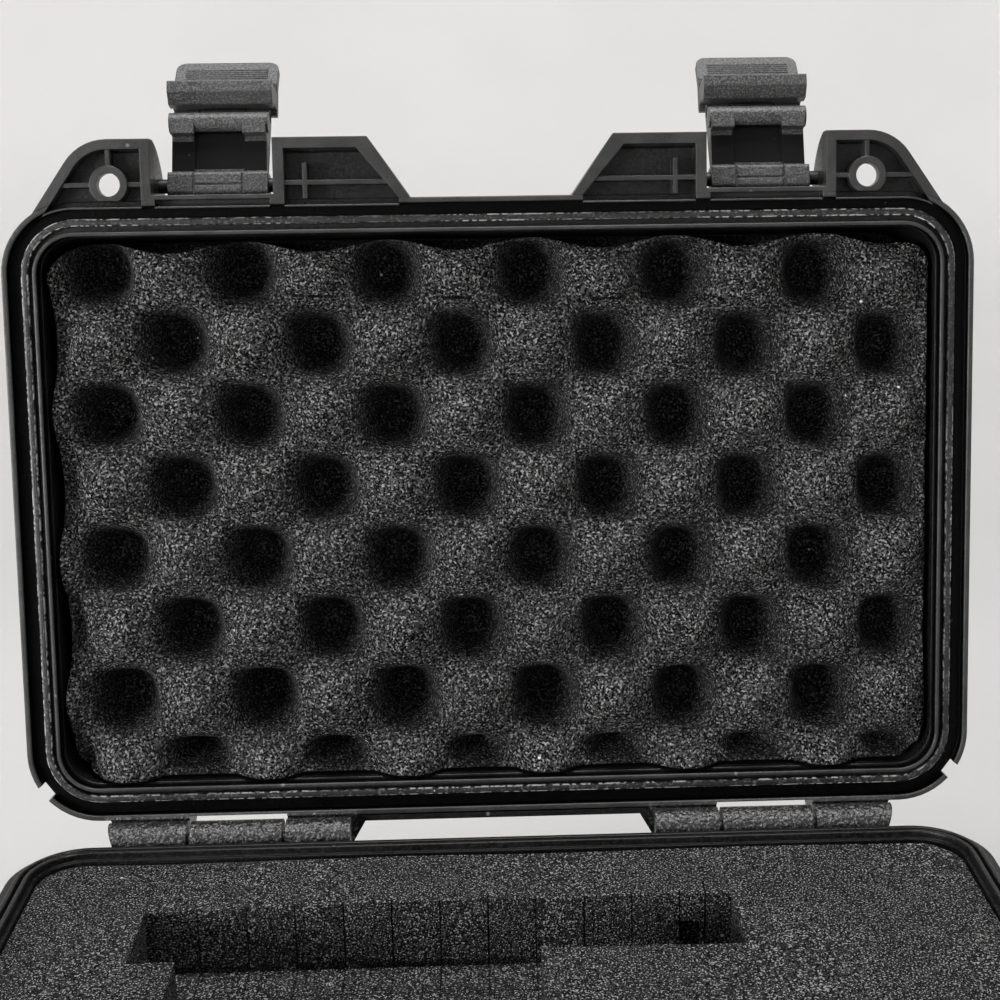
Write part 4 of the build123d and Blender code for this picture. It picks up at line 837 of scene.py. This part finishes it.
def lid_foam(material):
    """The lid's egg-crate foam, shaped in the shut place and carried to the open one."""
    low, high = corners_in("lid_foam", lid_shut())
    piece = piece_from("lid_egg_crate_foam", gridded_block(low, high, EGG_STEP), material)
    tree, sizes = egg_crate_tree(material)
    shaper = piece.modifiers.new("egg_crate", "NODES")
    shaper.node_group = tree
    values = {
        "Half width": high.x,
        "Half depth": high.y,
        "Peak height": high.z - low.z,
        "Corner": EGG_CORNER,
        "Saddle": EGG_SADDLE,
        "Pit wall": EGG_PIT_WALL,
        **EGG_WAVES,
        **EGG_PRESSED,
    }
    for label, value in values.items():
        shaper[sizes[label]] = value
    baked(piece)
    flipped = Matrix.Translation((0, 0, high.z)) @ Matrix.Diagonal((1, 1, -1, 1))
    piece.data.transform(lid_shut().inverted() @ flipped)
    piece.data.flip_normals()
    piece.data.shade_smooth()
    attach(piece, "lid")
    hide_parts("lid_foam")


# ================ base's cut foam
def cut_out():
    """Slot, tray and floor of the cut-out, from the boxes that the record keeps free."""
    slot_low, slot_high = OPENINGS["foam_slot"]
    tray_low, tray_high = OPENINGS["foam_tray"]
    slot = (
        (slot_low[0] - CELL_ROOM, slot_low[1] - CELL_ROOM),
        (slot_high[0] + CELL_ROOM, slot_high[1] + CELL_ROOM),
    )
    tray = (
        (tray_low[0] - CELL_ROOM, tray_low[1] - CELL_ROOM),
        (tray_high[0] + CELL_ROOM, slot[0][1]),
    )
    return {"slot": slot, "tray": tray, "floor": slot_low[2] - CUT_FLOOR_ROOM}


def depth_in(x, y, low, high, radius):
    """Distance from a place inside a rounded rectangle to its edge."""
    past_x = abs(x - (low.x + high.x) / 2) - (high.x - low.x) / 2 + radius
    past_y = abs(y - (low.y + high.y) / 2) - (high.y - low.y) / 2 + radius
    return radius - math.hypot(max(past_x, 0.0), max(past_y, 0.0)) - min(max(past_x, past_y), 0.0)


def foam_top(x, y, top, depth):
    """Height of the base foam's top at a place that lies depth inside its edge."""
    across = min(1.0, max(0.0, (x / MM + FOAM_SWELL_FROM) / FOAM_SWELL_RUN))
    free = min(1.0, max(0.0, (depth - LIP_PRESS[0]) / (LIP_PRESS[1] - LIP_PRESS[0])))
    swell = across * across * (3 - 2 * across) * FOAM_SWELL * free
    wave = FOAM_WAVE * math.sin(x / FOAM_WAVE_X + 0.8) * math.cos(y / FOAM_WAVE_Y - 0.4)
    return top + swell + wave


def cell_breaks(start, end, first):
    """Distances from start to each pluck line that crosses a straight wall."""
    low, high = sorted((start, end))
    k = math.ceil((low + CELL_FROM_CORNER - first) / CELL)
    breaks = []
    while first + k * CELL < high - CELL_FROM_CORNER:
        breaks.append(abs(first + k * CELL - start))
        k += 1
    return sorted(breaks)


def cut_wall_outline(seed):
    """Outline of the cut-out: faces a little out of line, with an open slit at each pluck line."""
    places = cut_out()
    (sx0, sy0), (sx1, sy1) = places["slot"]
    (tx0, ty0), (tx1, _) = places["tray"]
    corners = [(sx0, sy1), (sx0, sy0), (tx0, sy0), (tx0, ty0)]
    corners += [(tx1, ty0), (tx1, sy0), (sx1, sy0), (sx1, sy1)]
    rng = random.Random(seed)
    outline = []
    for (x0, y0), (x1, y1) in zip(corners, corners[1:] + corners[:1]):
        length = math.hypot(x1 - x0, y1 - y0)
        ux, uy = (x1 - x0) / length, (y1 - y0) / length
        out_x, out_y = uy, -ux
        flat = abs(uy) < 0.5
        stops = cell_breaks(x0 if flat else y0, x1 if flat else y1, CELL_X if flat else sy1)
        ends = [0.0] + stops + [length]
        for n, (s0, s1) in enumerate(zip(ends, ends[1:])):
            shift = rng.uniform(*CELL_SHIFT) * MM
            lean = rng.uniform(*CELL_LEAN) * MM
            count = max(2, round((s1 - s0) / WALL_STEP))
            last = n == len(ends) - 2
            lead = CELL_SLIT_HALF if n else 0.0
            trail = 0.0 if last else CELL_SLIT_HALF
            for k in range(count if last else count + 1):
                share = k / count
                s = s0 + lead + (s1 - s0 - lead - trail) * share
                bow = CELL_BOW * math.sin(math.pi * share)
                off = shift + lean * (share - 0.5) - bow if n or k else 0.0
                outline.append((x0 + ux * s + out_x * off, y0 + uy * s + out_y * off))
            if not last:
                deep = rng.uniform(*CELL_SLIT_DEPTH) * MM
                outline.append((x0 + ux * s1 + out_x * deep, y0 + uy * s1 + out_y * deep))
    return outline


def foam_lattice(low, high, step, seed):
    """Loose points over a rectangle, a little off their grid."""
    rng = random.Random(seed)
    wide = round((high[0] - low[0]) / step)
    deep = round((high[1] - low[1]) / step)
    points = []
    for j in range(1, deep):
        for i in range(1, wide):
            play_x = rng.uniform(-LATTICE_PLAY, LATTICE_PLAY) * step
            play_y = rng.uniform(-LATTICE_PLAY, LATTICE_PLAY) * step
            x = low[0] + (high[0] - low[0]) * i / wide + play_x
            y = low[1] + (high[1] - low[1]) * j / deep + play_y
            points.append((x, y))
    return points


def clear_of(points, outline, room):
    """Those points that keep a distance from an outline's points."""
    return [p for p in points if all(math.dist(p, q) > room for q in outline)]


def cut_foam_mesh():
    """Closed mesh of the base's cut foam."""
    low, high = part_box("pluck_foam")
    low, high = Vector(low), Vector(high)
    floor = cut_out()["floor"]
    rim = rounded_outline(low, high, FOAM_CORNER, FOAM_RIM_STEP)
    hole = cut_wall_outline(CUT_WALL_SEED)
    borders = []
    for inset in LIP_PRESS:
        shift = Vector((inset, inset, 0.0))
        borders += rounded_outline(low + shift, high - shift, FOAM_CORNER - inset, FOAM_RIM_STEP)
    loose = foam_lattice(low, high, FOAM_STEP, FOAM_SEED)
    loose = clear_of(loose, rim + hole + borders, FOAM_POINT_ROOM)
    loose = [p for p in loose if inside(p, rim)]
    beyond = borders + [p for p in loose if not inside(p, hole)]
    within = [p for p in loose if inside(p, hole)]
    found, top_faces = sheet_faces(
        [rim, hole], beyond, lambda p: inside(p, rim) and not inside(p, hole)
    )
    rim_ring = list(range(len(rim)))
    hole_ring = list(range(len(rim), len(rim) + len(hole)))
    drops = [FOAM_EDGE_DROP] * len(rim) + [FOAM_CUT_DROP] * len(hole)
    drops += [0.0] * (len(found) - len(drops))
    points = []
    for p, drop in zip(found, drops):
        depth = depth_in(p.x, p.y, low, high, FOAM_CORNER)
        points.append((p.x, p.y, foam_top(p.x, p.y, high.z, depth) - drop))
    faces = [tuple(face) for face in top_faces]

    def side(p, level):
        pull = FOAM_SIDE_PULL * math.sin(math.pi * level)
        return drawn_in(p, pull, low.z + (p[2] - low.z) * level)

    def wall(p, level):
        return (p[0], p[1], floor + (p[2] - floor) * level)

    foot = add_rings(points, faces, rim_ring, FOAM_SIDE_LEVELS, side)
    faces.append(tuple(reversed(foot)))
    ring = add_rings(points, faces, hole_ring, CUT_WALL_LEVELS, wall, flip=True)
    bottom, floor_faces = sheet_faces([hole], within, lambda p: inside(p, hole))
    rng = random.Random(CUT_FLOOR_SEED)
    number_of = {n: ring[n] for n in range(len(hole))}
    for n in range(len(hole), len(bottom)):
        number_of[n] = len(points)
        points.append((bottom[n].x, bottom[n].y, floor + rng.uniform(*CUT_FLOOR_PLAY) * MM))
    faces += [tuple(number_of[k] for k in face) for face in floor_faces]
    mesh = bpy.data.meshes.new("cut_foam")
    mesh.from_pydata(points, [], faces)
    return mesh


def facing_out(mesh):
    """Turns every face of a closed mesh outwards."""
    work = bmesh.new()
    work.from_mesh(mesh)
    bmesh.ops.recalc_face_normals(work, faces=work.faces)
    work.to_mesh(mesh)
    work.free()


def block_mesh(low, high):
    """Closed box between two corners."""
    work = bmesh.new()
    bmesh.ops.create_cube(work, size=1.0)
    for vertex in work.verts:
        vertex.co = Vector(low[i] + (high[i] - low[i]) * (vertex.co[i] + 0.5) for i in range(3))
    mesh = bpy.data.meshes.new("block")
    work.to_mesh(mesh)
    work.free()
    return mesh


def foam_cutters():
    """Boxes that clear the base's foam round the valve and tear the slot's rear wall."""
    nut_low, nut_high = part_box("valve_nut")
    foam_low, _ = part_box("pluck_foam")
    middle = [(a + b) / 2 for a, b in zip(nut_low, nut_high)]
    half = (nut_high[0] - nut_low[0]) / 2 + NUT_ROOM
    pad = half + WALL_PAD_PAST_NUT
    front = foam_low[1] - CUTTER_PAST
    floor = cut_out()["floor"]
    rear = cut_out()["slot"][1][1]
    near, far = rear - CUTTER_IN, rear + TORN_DEPTH
    foot = floor + CUTTER_IN
    slit = TORN_HOLE[1] + SLIT_PAST_HOLE
    return [
        ((-half, front, middle[2] - half), (half, nut_high[1] + NUT_ROOM, middle[2] + half)),
        ((-pad, front, middle[2] - pad), (pad, nut_low[1] + WALL_PAD_ROOM, middle[2] + pad)),
        ((TORN_HOLE[0], near, foot), (TORN_HOLE[1], far, floor + TORN_HOLE_H)),
        ((slit, near, foot), (slit + SLIT_W, far, foam_low[2] + SLIT_RISE)),
    ]


def cut_away(piece, boxes):
    """Cuts boxes out of a closed piece."""
    for low, high in boxes:
        cutter = bpy.data.objects.new("cutter", block_mesh(low, high))
        bpy.context.scene.collection.objects.link(cutter)
        knife = piece.modifiers.new("cut", "BOOLEAN")
        knife.operation = "DIFFERENCE"
        knife.solver = "EXACT"
        knife.object = cutter
        baked(piece)
        bpy.data.objects.remove(cutter)


def cut_foam(material):
    """The base's foam with its slot and tray, cleared round the valve's nut."""
    mesh = cut_foam_mesh()
    facing_out(mesh)
    piece = piece_from("base_cut_foam", mesh, material)
    cut_away(piece, foam_cutters())
    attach(piece, "base")
    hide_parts("pluck_foam")


def floor_pad(material):
    """The loose pad on the base's floor, with softened edges and slightly drawn-in sides."""
    low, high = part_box("base_foam_pad")
    rim = rounded_outline(low, high, PAD_CORNER, PAD_RIM_STEP)
    loose = [p for p in foam_lattice(low, high, PAD_STEP, PAD_SEED) if inside(p, rim)]
    loose = clear_of(loose, rim, PAD_POINT_ROOM)
    found, flat = sheet_faces([rim], loose, lambda p: inside(p, rim))
    points = []
    for n, p in enumerate(found):
        wave = PAD_WAVE * math.sin(p.x / PAD_WAVE_X) * math.cos(p.y / PAD_WAVE_Y)
        drop = PAD_EDGE_DROP if n < len(rim) else 0.0
        points.append((p.x, p.y, high[2] - PAD_DROP + wave - drop))
    faces = [tuple(face) for face in flat]

    def side(p, level):
        pull = PAD_SIDE_PULL * math.sin(math.pi * level) + (0.0 if level else PAD_FOOT_PULL)
        return drawn_in(p, pull, low[2] + (high[2] - low[2]) * level)

    foot = add_rings(points, faces, list(range(len(rim))), PAD_SIDE_LEVELS, side, flip=True)
    faces.append(tuple(reversed(foot)))
    mesh = bpy.data.meshes.new("floor_pad")
    mesh.from_pydata(points, [], faces)
    facing_out(mesh)
    piece = piece_from("base_floor_pad", mesh, material)
    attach(piece, "base")
    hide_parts("base_foam_pad")


# ================ studio
def cyclorama():
    """Pale floor that curves up all round into a low wall."""
    rings = [(radius, 0.0) for radius in FLOOR_RINGS]
    for k in range(1, BEND_STEPS + 1):
        turn = math.radians(90 * k / BEND_STEPS)
        rings.append((FLOOR_REACH + FLOOR_BEND * math.sin(turn), FLOOR_BEND * (1 - math.cos(turn))))
    rings.append((FLOOR_REACH + FLOOR_BEND, WALL_TOP))
    points = [(0.0, 0.0, 0.0)]
    faces = []
    for radius, z in rings:
        for k in range(FLOOR_SIDES):
            turn = 2 * math.pi * k / FLOOR_SIDES
            points.append((radius * math.cos(turn), radius * math.sin(turn), z))
    for k in range(FLOOR_SIDES):
        faces.append((0, 1 + k, 1 + (k + 1) % FLOOR_SIDES))
    for level in range(len(rings) - 1):
        inner = 1 + level * FLOOR_SIDES
        outer = inner + FLOOR_SIDES
        for k in range(FLOOR_SIDES):
            following = (k + 1) % FLOOR_SIDES
            faces.append((inner + k, outer + k, outer + following, inner + following))
    mesh = bpy.data.meshes.new("cyclorama")
    mesh.from_pydata(points, [], faces)
    mesh.shade_smooth()
    stage = piece_from("cyclorama", mesh, studio_paper("studio_paper"))


def softbox(name, place, aim, size, power):
    """A rectangular area light aimed at a point."""
    light = bpy.data.lights.new(name, "AREA")
    light.shape = "RECTANGLE"
    light.size, light.size_y = size
    light.energy = power
    lamp = bpy.data.objects.new(name, light)
    bpy.context.scene.collection.objects.link(lamp)
    lamp.location = place
    lamp.rotation_euler = (Vector(aim) - Vector(place)).to_track_quat("-Z", "Y").to_euler()


def studio():
    """Floor, sky light and soft boxes."""
    cyclorama()
    world = bpy.data.worlds.new("studio_sky")
    bpy.context.scene.world = world
    world.use_nodes = True
    sky = world.node_tree.nodes["Background"]
    sky.inputs["Color"].default_value = grey(1.0, 0.006)
    sky.inputs["Strength"].default_value = SKY_STRENGTH
    for name, settings in SOFTBOXES.items():
        softbox(name, *settings)
    bpy.context.scene.view_settings.view_transform = "Standard"


def camera():
    """The camera, with its axes given."""
    right, up = Vector(EYE_RIGHT), Vector(EYE_UP)
    back = right.cross(up).normalized()
    right = up.cross(back).normalized()
    up = back.cross(right)
    data = bpy.data.cameras.new("camera")
    data.lens = LENS
    data.sensor_width = SENSOR
    data.shift_x, data.shift_y = SHIFT
    data.clip_start = NEAREST
    eye = bpy.data.objects.new("camera", data)
    bpy.context.scene.collection.objects.link(eye)
    eye.matrix_world = Matrix.Translation(EYE) @ Matrix((right, up, back)).transposed().to_4x4()
    bpy.context.scene.camera = eye


# ================ the whole scene
def build():
    """Everything, in order."""
    camera()
    materials = finishes()
    dress_frame(materials)
    lid_foam(materials["lid_foam"])
    cut_foam(materials["base_foam"])
    floor_pad(materials["pad_foam"])
    studio()


build()
